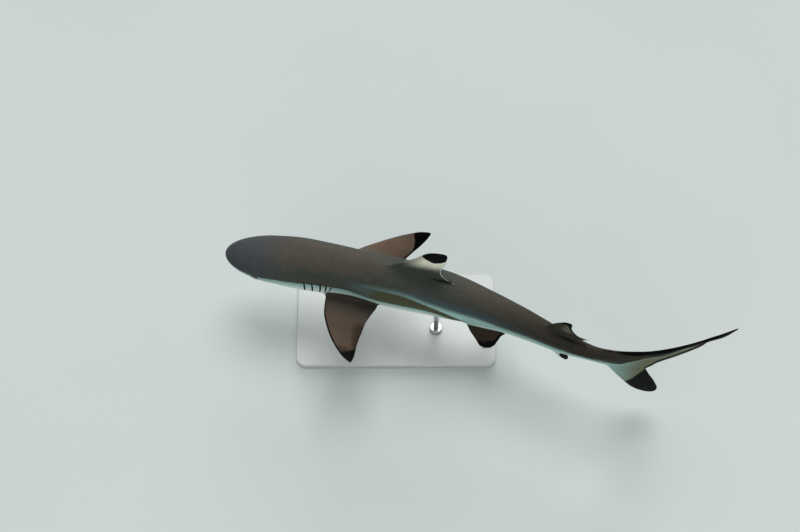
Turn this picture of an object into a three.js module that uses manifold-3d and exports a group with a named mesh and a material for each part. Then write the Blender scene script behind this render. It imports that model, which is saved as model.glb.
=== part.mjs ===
// A blacktip reef shark, life size and still, curved as in a slow swimming stroke, on a plain display stand.
// Millimetres, +Z up. The shark heads towards -X, with its left side towards -Y. The origin is on the floor,
// at the middle of the stand's base.
//
// The shark is first laid out straight: `along` runs from the snout to the tail, `across` is towards its
// right side and `up` is above its axis. place() then bends that straight shark along its swimming curve.
import * as THREE from "three";
import { mergeVertices } from "three/addons/utils/BufferGeometryUtils.js";
import Module from "manifold-3d";

const wasm = await Module();
wasm.setup();

// ---------------------------------------------------------------- driving dimensions

const TOTAL_LENGTH = 1200; // snout to tail, as a station of 100
const LEVEL_LENGTH = 97.6; // the station of the tail's tip, measured level: the tail slants up
const AXIS_HEIGHT = 190; // the body's axis above the floor
const JOINT_GAP = 0.3; // between pieces that meet
const SLIVER = 0.02; // detail smaller than this is left out
const BALANCE_STATION = 33; // the station that stands over the middle of the base

// Lengths on a shark are given in hundredths of its total length.
const part = (hundredths) => (hundredths * TOTAL_LENGTH) / 100;

// The body's pieces, from head to tail: [name, first station, last station, spacing of its sections].
const BODY = [
  ["head", 0, 15.2, 0.9],
  ["gills", 15.2, 22.4, 1.44],
  ["trunk_front", 22.4, 44.6, 2.2],
  ["trunk_rear", 44.6, 60.5, 2],
  ["tail_stalk", 60.5, 73.4, 1.6],
  ["tail_upper_lobe", 73.4, 97.6, 1.7],
];

// Body sections: [station, half width, back above axis, belly below axis, widest point above axis].
const SECTIONS = [
  [0, 4.05, 2.5, 2.2, -0.5],
  [5, 4.4, 2.75, 2.65, -0.5],
  [9, 4.7, 3.3, 3.3, -0.5],
  [14, 4.95, 4.05, 4.15, -0.4],
  [19, 4.7, 4.7, 4.95, -0.2],
  [27, 4.4, 5.15, 5.6, 0.1],
  [33, 4.4, 5.2, 6.15, 0.2],
  [42, 4.1, 4.75, 5.9, 0.3],
  [51, 3.15, 3.9, 4.6, 0.2],
  [60, 2.45, 3.1, 3.25, 0.1],
  [67, 1.85, 2.4, 2.35, 0],
  [72, 1.25, 1.9, 1.95, 0],
  [76, 0.9, 2.9, 2.3, 0.9],
  [80, 0.67, 4.55, 2.1, 2.6],
];

// The tail's upper lobe, behind the lower one: [station, half width, upper edge, lower edge].
const UPPER_LOBE = [
  [82.3, 0.54, 5.5, -1.2],
  [84.2, 0.47, 6.3, 1.5],
  [88, 0.36, 8.0, 4.6],
  [91.6, 0.27, 9.6, 7.5],
  [92.3, 0.26, 9.9, 8.55],
  [95.2, 0.2, 11.15, 9.5],
  [97.6, 0.12, 12.1, 11.7],
];

// How far the body's heading turns from +X towards -Y on the way to the tail: [station, degrees].
const HEADING = [
  [0, 14],
  [8, 8.5],
  [16, 12],
  [28, 14.2],
  [36, 14.5],
  [44, 19.3],
  [52, 25],
  [57, 27.5],
  [63, 29.5],
  [69, 23.5],
  [76, 16.5],
  [83, 5.5],
  [89, -4.5],
  [98, -13.7],
];

// ---------------------------------------------------------------- curves

// A smooth curve through [x, y] knots that never overshoots them: cubic Hermite pieces whose slope at a knot
// is the harmonic mean of its neighbours' slopes, or zero at a turning point.
function smoothCurve(knots) {
  const x = knots.map((k) => k[0]);
  const y = knots.map((k) => k[1]);
  const n = x.length;
  const slope = x.slice(1).map((v, i) => (y[i + 1] - y[i]) / (v - x[i]));
  const tangent = x.map((_, i) => {
    if (i === 0) return slope[0];
    if (i === n - 1) return slope[n - 2];
    const product = slope[i - 1] * slope[i];
    return product <= 0 ? 0 : (2 * product) / (slope[i - 1] + slope[i]);
  });
  return (at) => {
    const clamped = Math.min(Math.max(at, x[0]), x[n - 1]);
    let i = 0;
    while (i < n - 2 && clamped > x[i + 1]) i += 1;
    const span = x[i + 1] - x[i];
    const t = (clamped - x[i]) / span;
    const rise = y[i + 1] - y[i];
    const a = tangent[i] * span - rise;
    const b = rise - tangent[i + 1] * span;
    return y[i] + t * rise + t * (1 - t) * ((1 - t) * a + t * b);
  };
}

// Column c of a table of knots, as a smooth curve over column 0.
const column = (table, c) => smoothCurve(table.map((row) => [row[0], row[c]]));

const degrees = (angle) => (angle * Math.PI) / 180;

// A quarter ellipse: 0 at t = 0, rising at once and levelling off to 1 at t = 1.
const quarterRound = (t) => (t >= 1 ? 1 : Math.sqrt(1 - (1 - Math.max(t, 0)) ** 2));

// ---------------------------------------------------------------- the swimming curve

const heading = smoothCurve(HEADING);

// The body's axis in plan, one point per millimetre of its length.
const spine = [{ x: 0, y: 0 }];
for (let mm = 1; mm <= part(LEVEL_LENGTH) + 1; mm += 1) {
  const turn = degrees(heading((mm - 0.5) / part(1)));
  const last = spine[mm - 1];
  spine.push({ x: last.x + Math.cos(turn), y: last.y - Math.sin(turn) });
}

function spineAt(mm) {
  const i = Math.min(Math.max(Math.floor(mm), 0), spine.length - 2);
  const t = mm - i;
  return {
    x: spine[i].x + t * (spine[i + 1].x - spine[i].x),
    y: spine[i].y + t * (spine[i + 1].y - spine[i].y),
  };
}

const balance = spineAt(part(BALANCE_STATION));

// The body's frame at a station: its place on the axis, and the directions to the tail and to the right side.
function frameAt(mm) {
  const turn = degrees(heading(mm / part(1)));
  const at = spineAt(mm);
  return {
    origin: new THREE.Vector3(at.x - balance.x, at.y - balance.y, AXIS_HEIGHT),
    tailward: new THREE.Vector3(Math.cos(turn), -Math.sin(turn), 0),
    rightward: new THREE.Vector3(Math.sin(turn), Math.cos(turn), 0),
  };
}

// A point of the straight shark, carried onto the swimming curve.
function place(along, across, up) {
  const f = frameAt(along);
  return f.origin.addScaledVector(f.rightward, across).add(new THREE.Vector3(0, 0, up));
}

// ---------------------------------------------------------------- solids

// A closed mesh through rings of points that all have the same count. Rings run so that faces point outwards.
// Each end is closed with a fan from the middle of its ring.
function loft(rings) {
  const size = rings[0].length;
  const points = rings.flat();
  const faces = [];
  for (let r = 0; r < rings.length - 1; r += 1) {
    for (let k = 0; k < size; k += 1) {
      const a = r * size + k;
      const b = r * size + ((k + 1) % size);
      faces.push(a, a + size, b, b, a + size, b + size);
    }
  }
  for (const [r, reversed] of [
    [0, true],
    [rings.length - 1, false],
  ]) {
    const middle = rings[r].reduce((sum, p) => sum.add(p), new THREE.Vector3()).divideScalar(size);
    const m = points.push(middle) - 1;
    for (let k = 0; k < size; k += 1) {
      const a = r * size + k;
      const b = r * size + ((k + 1) % size);
      if (reversed) faces.push(m, a, b);
      else faces.push(m, b, a);
    }
  }
  const geometry = new THREE.BufferGeometry().setFromPoints(points);
  geometry.setIndex(faces);
  return solidOf(geometry);
}

// A three.js geometry as a manifold-3d solid.
function solidOf(geometry) {
  const bare = geometry.clone();
  bare.deleteAttribute("normal");
  bare.deleteAttribute("uv");
  const merged = mergeVertices(bare, 1e-4);
  const solid = new wasm.Manifold(
    new wasm.Mesh({
      numProp: 3,
      vertProperties: merged.attributes.position.array,
      triVerts: new Uint32Array(merged.index.array),
    }),
  );
  return solid;
}

// A solid back as a three.js geometry, without the slivers that cutting leaves.
function geometryOf(solid) {
  const mesh = solid.simplify(SLIVER).getMesh();
  const geometry = new THREE.BufferGeometry();
  geometry.setAttribute("position", new THREE.BufferAttribute(mesh.vertProperties, 3));
  geometry.setIndex(new THREE.BufferAttribute(mesh.triVerts, 1));
  return geometry;
}

// The largest piece of a solid, for when a cut leaves crumbs behind.
function largest(solid) {
  const pieces = solid.decompose();
  return pieces.reduce((best, piece) => (piece.volume() > best.volume() ? piece : best));
}

// ---------------------------------------------------------------- body sections

const RING_POINTS = 28;
const NOSE_TIP = 0.02; // the first station
const SNOUT_ROUND = { wide: 9, high: 6 }; // lengths over which the snout rounds off

// The sections of the body and of the tail's upper lobe in one table, with their lower edges as heights.
const PROFILE = [
  ...SECTIONS.map(([at, wide, back, belly, widest]) => [at, wide, back, -belly, widest]),
  ...UPPER_LOBE.map(([at, wide, upper, lower]) => [at, wide, upper, lower, 0.65 * upper + 0.35 * lower]),
];
const halfWidth = column(PROFILE, 1);
const backHeight = column(PROFILE, 2);
const bellyHeight = column(PROFILE, 3);
const widestHeight = column(PROFILE, 4);

// Roundness of a section's upper and lower half: 2 is an ellipse, more is boxier and less more pointed.
const backShape = smoothCurve([
  [0, 2.1],
  [12, 2.05],
  [30, 1.85],
  [60, 1.95],
  [74, 2],
  [82, 1.6],
]);
const bellyShape = smoothCurve([
  [0, 2.3],
  [8, 2.5],
  [20, 2.3],
  [45, 2.1],
  [72, 2],
  [82, 1.35],
]);

// The point of the body's skin at a station and an angle round the section: 0 is the back, 90 the right side
// and 180 the belly. `grow` moves it outwards.
function skinPoint(station, angle, grow = 0) {
  const wide = quarterRound(station / SNOUT_ROUND.wide);
  const high = quarterRound(station / SNOUT_ROUND.high);
  const side = Math.sin(degrees(angle));
  const rise = Math.cos(degrees(angle));
  const widest = part(widestHeight(station));
  const reach = rise > 0 ? part(backHeight(station)) - widest : widest - part(bellyHeight(station));
  const power = rise > 0 ? backShape(station) : bellyShape(station);
  const bulge = (Math.abs(side) ** power + Math.abs(rise) ** power) ** (-1 / power);
  return {
    across: (part(halfWidth(station)) * wide + grow) * bulge * side,
    up: widest + (reach * high + grow) * bulge * rise,
  };
}

function skinRing(station, grow = 0) {
  return Array.from({ length: RING_POINTS }, (_, k) => {
    const p = skinPoint(station, (360 * k) / RING_POINTS, grow);
    return place(part(station), p.across, p.up);
  });
}

// Stations from start to end, closer together over the rounding of the snout.
function stations(start, end, step) {
  const list = [];
  const count = Math.max(2, Math.round((end - start) / step));
  for (let i = 0; i <= count; i += 1) {
    const t = i / count;
    list.push(start === 0 ? Math.max(end * t * t, NOSE_TIP) : start + (end - start) * t);
  }
  return list;
}

// A length of the body through the given stations, with a flat end at each cut.
const bodySolid = (list, grow = 0) => loft(list.map((station) => skinRing(station, grow)));

// A piece of the body, half a gap short of its neighbours.
function bodyPiece([, start, end, step]) {
  const list = stations(start, end, step);
  const inset = JOINT_GAP / 2 / part(1);
  list[0] += start > 0 ? inset : 0;
  list[list.length - 1] -= end < LEVEL_LENGTH ? inset : 0;
  return bodySolid(list);
}

// The whole body with a gap's width of room all round, for cutting the fins to fit.
const wholeBody = bodySolid(
  BODY.flatMap(([, start, end, step], i) => stations(start, end, step).slice(i === 0 ? 0 : 1)),
  JOINT_GAP,
);

// ---------------------------------------------------------------- fins

const FIN_POINTS = 14;
const FIN_LEVELS = 10;
const FIN_EDGE = 0.5; // half the thickness of a fin's trailing edge
const FIN_EDGE_ROUND = 0.33; // how squarely that edge is rounded: less is squarer
const FIN_THINNING = 0.75; // share of its thickness that a fin loses on the way to its tip
const FIN_END = 0.999; // share of its height at the last ring

// The section of a fin: full towards the front, thinning to the trailing edge. c is the share of the chord.
const foil = (c) => 2.6 * Math.sqrt(c) * (1 - c);

// The rings of a fin in its own frame: x towards the tail, y the thickness and z from root to tip.
// Its lead and chord are curves over the share of its height; sink is how deep its root lies in the body and
// lift how far its free rear tip stands clear.
function finRings(fin) {
  const lead = smoothCurve(fin.lead);
  const chord = smoothCurve(fin.chord);
  return Array.from({ length: FIN_LEVELS }, (_, j) => {
    const v = Math.min(Math.sin((Math.PI / 2) * (j / (FIN_LEVELS - 1))), FIN_END);
    const tip = quarterRound((1 - v) / fin.tipRound);
    const full = part(chord(v));
    const length = full * tip;
    const front = part(lead(v)) + (full - length) * fin.tipLean;
    const thick = (fin.thick * (1 - FIN_THINNING * v) * tip) / 2;
    return Array.from({ length: FIN_POINTS }, (_, k) => {
      const turn = (2 * Math.PI * k) / FIN_POINTS;
      const c = (1 - Math.cos(turn)) / 2;
      const blunt = FIN_EDGE * Math.abs(Math.sin(turn)) ** FIN_EDGE_ROUND;
      const half = Math.max(thick * foil(c), blunt * Math.min(1, 4 * tip));
      const height = part(fin.height) * v - fin.sink * (1 - v) + fin.lift * c * c * (1 - v) ** 3;
      const side = c > 0 && c < 1 ? Math.sign(Math.sin(turn)) : 0;
      return { x: front + c * length, y: side * half, z: height };
    });
  });
}

// A fin on the midline, standing up from the back (side 1) or down from the belly (side -1).
function midFin(fin, side) {
  const edge = side > 0 ? backHeight : bellyHeight;
  const from = part(edge(fin.at));
  const to = part(edge(fin.at + fin.base));
  const rings = finRings(fin).map((ring) =>
    ring.map((p) => {
      const level = from + ((to - from) * p.x) / part(fin.base);
      return place(part(fin.at) + p.x, p.y * side, level + side * p.z);
    }),
  );
  return largest(loft(rings).subtract(wholeBody));
}

// A paired fin on the right (side 1) or the left (side -1): turned back about its root within its own plane,
// tilted up or down, pitched nose up about its span, and curled up more and more towards its tip.
function pairedFin(fin, side, pose) {
  const f = frameAt(part(fin.at));
  const out = f.rightward.clone().multiplyScalar(side * Math.cos(degrees(pose.tilt)));
  out.z = Math.sin(degrees(pose.tilt));
  const back = f.tailward.clone().multiplyScalar(Math.cos(degrees(pose.pitch)));
  back.z = -Math.sin(degrees(pose.pitch));
  const thick = new THREE.Vector3().crossVectors(out, back).normalize();
  const root = f.origin.clone().addScaledVector(f.rightward, side * part(fin.out));
  root.z += part(fin.up);
  const [cos, sin] = [Math.cos(degrees(pose.sweep)), Math.sin(degrees(pose.sweep))];
  const curl = (z) => side * part(pose.curl) * (Math.max(z, 0) / part(fin.height)) ** 2;
  const rings = finRings(fin).map((ring) =>
    ring.map((p) =>
      root
        .clone()
        .addScaledVector(back, p.x * cos + p.z * sin)
        .addScaledVector(out, p.z * cos - p.x * sin)
        .addScaledVector(thick, p.y - curl(p.z)),
    ),
  );
  return largest(loft(rings).subtract(wholeBody));
}

const FIRST_DORSAL = {
  at: 30.8,
  base: 9.7,
  height: 9.35,
  lead: [[0, 0], [0.3, 2.9], [0.6, 5.9], [0.85, 7.9], [1, 9.9]],
  chord: [[0, 13.4], [0.12, 10.3], [0.3, 7.8], [0.6, 5.5], [0.85, 3.9], [1, 2.2]],
  tipRound: 0.11,
  tipLean: 0.7,
  thick: 13,
  sink: 7,
  lift: 5,
};

const SECOND_DORSAL = {
  at: 62.6,
  base: 4.8,
  height: 5.5,
  lead: [[0, 0], [0.5, 1.5], [1, 4]],
  chord: [[0, 8.5], [0.15, 6.5], [0.4, 4.8], [0.8, 2.1], [1, 1.2]],
  tipRound: 0.1,
  tipLean: 0.7,
  thick: 8,
  sink: 5,
  lift: 33,
};

const ANAL = {
  at: 62.3,
  base: 4.7,
  height: 3.75,
  lead: [[0, 0], [0.5, 1.9], [1, 4.3]],
  chord: [[0, 7.2], [0.15, 5.5], [0.4, 4], [0.8, 2.3], [1, 1.1]],
  tipRound: 0.18,
  tipLean: 0.7,
  thick: 8,
  sink: 5,
  lift: 5,
};

const LOWER_LOBE = {
  at: 74.5,
  base: 7,
  height: 9,
  lead: [[0, 0], [0.4, 2.75], [0.8, 5.65], [1, 7.05]],
  chord: [[0, 7.8], [0.2, 7.1], [0.5, 6.3], [0.8, 5.1], [1, 4.3]],
  tipRound: 0.24,
  tipLean: 0.6,
  thick: 9,
  sink: 7,
  lift: 0,
};

const PECTORAL = {
  at: 20.2,
  out: 3.6,
  up: -2.8,
  height: 16,
  lead: [[0, 0], [0.36, 0.8], [0.53, 1.85], [0.74, 3.75], [0.9, 5.85], [1, 7.5]],
  chord: [[0, 10.4], [0.1, 9.8], [0.3, 8.5], [0.5, 7.1], [0.66, 5.6], [0.84, 3.6], [1, 1.2]],
  tipRound: 0.09,
  tipLean: 0.6,
  thick: 15,
  sink: 14,
  lift: 14,
};

const PELVIC = {
  at: 46.5,
  out: 1.8,
  up: -3.2,
  height: 4.25,
  lead: [[0, 0], [0.5, 2.15], [0.8, 4], [1, 4.55]],
  chord: [[0, 8.9], [0.2, 7.5], [0.5, 5.75], [0.8, 3.55], [1, 2.95]],
  tipRound: 0.33,
  tipLean: 0.5,
  thick: 9,
  sink: 9,
  lift: 10,
};

// How each paired fin is held, in degrees, and how far its tip curls up. The left pectoral is spread and
// raised; the right one is folded back, with its tip curled up.
const LEFT_PECTORAL_POSE = { tilt: 13.5, sweep: 1, pitch: 6, curl: 0.6 };
const RIGHT_PECTORAL_POSE = { tilt: -5.5, sweep: 43, pitch: 2, curl: 6.3 };
const LEFT_PELVIC_POSE = { tilt: -28, sweep: 0, pitch: 6.5, curl: 0 };
const RIGHT_PELVIC_POSE = { tilt: -28, sweep: 4, pitch: 6.5, curl: 0 };

// ---------------------------------------------------------------- head

const EYE = { at: 6.4, angle: 95, sunk: 2.6, long: 10.5, high: 8.8, deep: 5.5 };
const EYE_FACETS = [16, 10];
const NOSTRIL = { at: 3.5, out: 2.5, level: 0.86, long: 7, wide: 2, deep: 4, slant: 35 };
const NOSTRIL_FACETS = [12, 6];
// Gill slits from front to back: station, top and bottom. The last two stand over the pectoral fin's root.
const GILL_SLITS = [
  [16.25, 0.9, -2.7],
  [17.75, 1.05, -2.6],
  [19.3, 1.1, -2.3],
  [20.4, 1, -1.9],
  [21.25, 0.6, -1.6],
];
const GILL = { lean: 0.25, width: 1.6, blunt: 0.1, depth: 5, proud: 4, levels: 4 };
const MOUTH = { front: 6.9, back: 11.6, corner: 4, arch: 0.9, steps: 12, roof: -1.5, reach: 60 };

// An ellipsoid at a point, with its axes along three directions.
function ellipsoid(centre, axes, radii, facets) {
  const geometry = new THREE.SphereGeometry(1, ...facets);
  const basis = axes.map((axis, i) => axis.clone().multiplyScalar(radii[i]));
  geometry.applyMatrix4(new THREE.Matrix4().makeBasis(...basis).setPosition(centre));
  return solidOf(geometry);
}

// An eyeball, or its socket when grown by a gap: flattened, and set a little into the side of the head.
function eye(side, grow = 0) {
  const f = frameAt(part(EYE.at));
  const p = skinPoint(EYE.at, EYE.angle);
  const ahead = skinPoint(EYE.at - 1, EYE.angle);
  const skin = place(part(EYE.at), side * p.across, p.up);
  const forward = place(part(EYE.at - 1), side * ahead.across, ahead.up).sub(skin).normalize();
  const up = new THREE.Vector3(0, 0, 1).addScaledVector(forward, -forward.z).normalize();
  const outward = new THREE.Vector3().crossVectors(forward, up).normalize();
  if (outward.dot(f.rightward) * side < 0) outward.negate();
  const axes = [new THREE.Vector3().crossVectors(up, outward), up, outward];
  const radii = [EYE.long + grow, EYE.high + grow, EYE.deep + grow];
  return ellipsoid(skin.addScaledVector(outward, -EYE.sunk), axes, radii, EYE_FACETS);
}

// A nostril: a short slanting slot under the snout.
function nostril(side) {
  const f = frameAt(part(NOSTRIL.at));
  const belly = part(bellyHeight(NOSTRIL.at)) * quarterRound(NOSTRIL.at / SNOUT_ROUND.high);
  const centre = place(part(NOSTRIL.at), side * part(NOSTRIL.out), NOSTRIL.level * belly);
  const slant = degrees(NOSTRIL.slant);
  const along = f.rightward.clone().multiplyScalar(side * Math.cos(slant));
  along.addScaledVector(f.tailward, -Math.sin(slant));
  const up = new THREE.Vector3(0, 0, 1);
  const axes = [along, new THREE.Vector3().crossVectors(up, along), up];
  return ellipsoid(centre, axes, [NOSTRIL.long, NOSTRIL.wide, NOSTRIL.deep], NOSTRIL_FACETS);
}

// A gill slit: a narrow curved slot in the side of the body.
function gillSlit([station, top, bottom], side) {
  const rings = Array.from({ length: GILL.levels + 1 }, (_, i) => {
    const t = i / GILL.levels;
    const up = part(bottom + (top - bottom) * t);
    const at = part(station) + part(GILL.lean) * Math.sin(Math.PI * t);
    const open = (GILL.width / 2) * Math.sin(Math.PI * (GILL.blunt + (1 - 2 * GILL.blunt) * t));
    const widest = part(widestHeight(station));
    const reach = up > widest ? part(backHeight(station)) - widest : widest - part(bellyHeight(station));
    const power = up > widest ? backShape(station) : bellyShape(station);
    const skin = part(halfWidth(station)) * (1 - (Math.abs(up - widest) / reach) ** power) ** (1 / power);
    const corners = [
      [at - open, skin + GILL.proud],
      [at + open, skin + GILL.proud],
      [at + open, skin - GILL.depth],
      [at - open, skin - GILL.depth],
    ];
    const ring = corners.map(([along, across]) => place(along, side * across, up));
    return side > 0 ? ring : ring.reverse();
  });
  return loft(rings);
}

// The lower jaw's room under the head: a plan that starts as a round arch at the front of the mouth and runs
// straight back, with a flat roof.
function jawRoom(grow) {
  const front = part(MOUTH.front) - grow;
  const length = part(MOUTH.back) + grow - front;
  const reach = part(MOUTH.corner) + grow;
  const plan = [];
  for (let i = 0; i <= MOUTH.steps; i += 1) {
    const turn = (Math.PI * i) / MOUTH.steps - Math.PI / 2;
    plan.push([front + length * (1 - Math.cos(turn) ** MOUTH.arch), reach * Math.sin(turn)]);
  }
  const levels = [part(MOUTH.roof) - MOUTH.reach, part(MOUTH.roof) + grow];
  return loft(levels.map((up) => plan.map(([along, across]) => place(along, across, up))));
}

// ---------------------------------------------------------------- stand

const BASE = { length: 460, width: 240, thick: 12, corner: 24, bevel: 2, cornerFacets: 6 };
const ROD = { radius: 6, facets: 20, stations: [26, 41] };
const COLLAR = { radius: 15, height: 9, bevel: 2 };

// A flat plate with rounded corners and a bevelled upper edge.
function basePlate() {
  const outline = (inset) => {
    const [x, y] = [BASE.length / 2 - inset, BASE.width / 2 - inset];
    const r = BASE.corner - inset;
    const ring = [];
    [[x - r, y - r], [r - x, y - r], [r - x, r - y], [x - r, r - y]].forEach(([cx, cy], quarter) => {
      for (let i = 0; i <= BASE.cornerFacets; i += 1) {
        const turn = (Math.PI / 2) * (quarter + i / BASE.cornerFacets);
        ring.push([cx + r * Math.cos(turn), cy + r * Math.sin(turn)]);
      }
    });
    return ring;
  };
  const levels = [
    [0, 0],
    [0, BASE.thick - BASE.bevel],
    [BASE.bevel, BASE.thick],
  ];
  const ring = ([inset, z]) => outline(inset).map(([x, y]) => new THREE.Vector3(x, y, z));
  return loft(levels.map((level) => ring(level).reverse()));
}

// An upright turned from a profile of [radius, height], standing under a station of the body.
function turned(profile, station) {
  const foot = place(part(station), 0, 0);
  const rings = profile.map(([radius, z]) =>
    Array.from({ length: ROD.facets }, (_, k) => {
      const turn = (-2 * Math.PI * k) / ROD.facets;
      return new THREE.Vector3(foot.x + radius * Math.cos(turn), foot.y + radius * Math.sin(turn), z);
    }),
  );
  return loft(rings);
}

// ---------------------------------------------------------------- the model

const material = (color, roughness, metalness = 0) =>
  new THREE.MeshStandardMaterial({ color, roughness, metalness });
const SKIN = material(0x57504a, 0.5);
const FIN = material(0x4c423b, 0.5);
const EYEBALL = material(0x1b1712, 0.1);
const STEEL = material(0xb4b7ba, 0.3, 1);
const PAINT = material(0xd9dad6, 0.6);

const shark = new THREE.Group();
function add(name, solid, look) {
  const mesh = new THREE.Mesh(geometryOf(solid), look);
  mesh.name = name;
  shark.add(mesh);
}

for (const piece of BODY) {
  let solid = bodyPiece(piece);
  if (piece[0] === "head") {
    add("lower_jaw", solid.intersect(jawRoom(0)), SKIN);
    const cuts = [jawRoom(JOINT_GAP), ...[-1, 1].flatMap((side) => [eye(side, JOINT_GAP), nostril(side)])];
    solid = largest(cuts.reduce((left, cut) => left.subtract(cut), solid));
  }
  if (piece[0] === "gills") {
    const cuts = GILL_SLITS.flatMap((slit) => [-1, 1].map((side) => gillSlit(slit, side)));
    solid = cuts.reduce((left, cut) => left.subtract(cut), solid);
  }
  add(piece[0], solid, SKIN);
}

add("left_eye", eye(-1), EYEBALL);
add("right_eye", eye(1), EYEBALL);
add("tail_lower_lobe", midFin(LOWER_LOBE, -1), FIN);
add("first_dorsal_fin", midFin(FIRST_DORSAL, 1), FIN);
add("second_dorsal_fin", midFin(SECOND_DORSAL, 1), FIN);
add("anal_fin", midFin(ANAL, -1), FIN);
add("left_pectoral_fin", pairedFin(PECTORAL, -1, LEFT_PECTORAL_POSE), FIN);
add("right_pectoral_fin", pairedFin(PECTORAL, 1, RIGHT_PECTORAL_POSE), FIN);
add("left_pelvic_fin", pairedFin(PELVIC, -1, LEFT_PELVIC_POSE), FIN);
add("right_pelvic_fin", pairedFin(PELVIC, 1, RIGHT_PELVIC_POSE), FIN);

add("stand_base", basePlate(), PAINT);
for (const [name, station] of [
  ["front", ROD.stations[0]],
  ["rear", ROD.stations[1]],
]) {
  const foot = BASE.thick + JOINT_GAP;
  const collarTop = foot + COLLAR.height;
  const collar = [
    [COLLAR.radius, foot],
    [COLLAR.radius, collarTop - COLLAR.bevel],
    [COLLAR.radius - COLLAR.bevel, collarTop],
  ];
  add(`stand_collar_${name}`, turned(collar, station), STEEL);
  const rod = turned([[ROD.radius, collarTop + JOINT_GAP], [ROD.radius, AXIS_HEIGHT]], station);
  add(`stand_rod_${name}`, largest(rod.subtract(wholeBody)), STEEL);
}

export default shark;
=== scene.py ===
"""Dresses a life-size blacktip reef shark model: its skin, its eyes, its display stand and a plain studio.

Lengths in the shape functions are millimetres and meshes are metres. The shark is worked out straight first:
`along` runs from the snout to the tail, `across` towards its right side and `up` above its axis. bend() then
carries it onto its swimming curve. Stations, and the sizes in the tables, are hundredths of its total length.
"""

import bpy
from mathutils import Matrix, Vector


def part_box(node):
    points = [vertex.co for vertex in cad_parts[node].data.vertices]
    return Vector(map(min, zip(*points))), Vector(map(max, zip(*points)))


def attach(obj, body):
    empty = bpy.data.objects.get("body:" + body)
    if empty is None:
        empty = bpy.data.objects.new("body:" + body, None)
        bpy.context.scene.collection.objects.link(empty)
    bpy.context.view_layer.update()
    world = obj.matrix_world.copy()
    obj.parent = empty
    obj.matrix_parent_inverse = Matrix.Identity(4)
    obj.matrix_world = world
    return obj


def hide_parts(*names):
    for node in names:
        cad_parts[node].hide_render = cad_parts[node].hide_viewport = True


bl_info = {
    "name": "Reef Shark Display Model",
    "version": (1, 0, 0),
    "blender": (4, 5, 0),
    "location": "View3D > Sidebar > Reef Shark",
    "description": "Builds the skin, eyes and stand of a life-size reef shark model, and a studio around it",
    "category": "Add Mesh",
}

import math

import bpy
import numpy as np
from bpy.props import FloatProperty, FloatVectorProperty, PointerProperty
from mathutils import Matrix, Vector

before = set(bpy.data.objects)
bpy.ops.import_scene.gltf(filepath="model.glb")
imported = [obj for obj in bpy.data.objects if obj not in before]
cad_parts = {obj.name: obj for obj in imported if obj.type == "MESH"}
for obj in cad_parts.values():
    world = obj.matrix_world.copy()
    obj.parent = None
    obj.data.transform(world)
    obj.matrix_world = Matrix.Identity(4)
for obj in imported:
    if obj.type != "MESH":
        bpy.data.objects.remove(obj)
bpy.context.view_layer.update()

MM = 0.001  # one millimetre, in metres
UNIT = 12.0  # one hundredth of the total length
AXIS_HEIGHT = 190.0  # the body's axis above the floor
BALANCE_STATION = 33.0  # stands over the middle of the base
TAIL_END = 97.6  # station of the tail's tip, measured level

# Body sections: station, half width, upper edge, lower edge and widest level, the last three above the axis.
SECTIONS = (
    (0, 4.05, 2.5, -2.2, -0.5),
    (5, 4.4, 2.75, -2.65, -0.5),
    (9, 4.7, 3.3, -3.3, -0.5),
    (14, 4.95, 4.05, -4.15, -0.4),
    (19, 4.7, 4.7, -4.95, -0.2),
    (27, 4.4, 5.15, -5.6, 0.1),
    (33, 4.4, 5.2, -6.15, 0.2),
    (42, 4.1, 4.75, -5.9, 0.3),
    (51, 3.15, 3.9, -4.6, 0.2),
    (60, 2.45, 3.1, -3.25, 0.1),
    (67, 1.85, 2.4, -2.35, 0),
    (72, 1.25, 1.9, -1.95, 0),
    (76, 0.9, 2.9, -2.3, 0.9),
    (80, 0.67, 4.55, -2.1, 2.6),
    (82.3, 0.54, 5.5, -1.2, 3.155),
    (84.2, 0.47, 6.3, 1.5, 4.62),
    (88, 0.36, 8, 4.6, 6.81),
    (91.6, 0.27, 9.6, 7.5, 8.865),
    (92.3, 0.26, 9.9, 8.55, 9.4275),
    (95.2, 0.2, 11.15, 9.5, 10.5725),
    (97.6, 0.12, 12.1, 11.7, 11.96),
)
BACK_SHAPE = ((0, 2.1), (12, 2.05), (30, 1.85), (60, 1.95), (74, 2), (82, 1.6))  # 2 is an ellipse
BELLY_SHAPE = ((0, 2.3), (8, 2.5), (20, 2.3), (45, 2.1), (72, 2), (82, 1.35))
SNOUT_WIDE, SNOUT_HIGH = 9.0, 6.0  # lengths over which the snout rounds off
TAIL_ROUND = 0.5  # length over which the tail's tip rounds off
LEAST = 1e-3  # mm, the least half width or reach of a section

# The body's heading from +X towards -Y, in degrees, on the way to the tail.
HEADING = (
    (0, 14), (8, 8.5), (16, 12), (28, 14.2), (36, 14.5), (44, 19.3), (52, 25),
    (57, 27.5), (63, 29.5), (69, 23.5), (76, 16.5), (83, 5.5), (89, -4.5), (98, -13.7),
)

# Stations of the skin's rings: first, last and spacing. They are close at the eyes, mouth, gills and notch.
RING_SPANS = (
    (5, 12, 0.09), (12, 15.6, 0.16), (15.6, 22, 0.07), (22, 90.6, 0.5), (90.6, 93, 0.12), (93, 97.55, 0.25),
)
NOSE_RINGS = 44
RING_POINTS = 144
SIDE_DENSITY = 0.35  # how much closer the points of a ring lie at the sides than at the back

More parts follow.
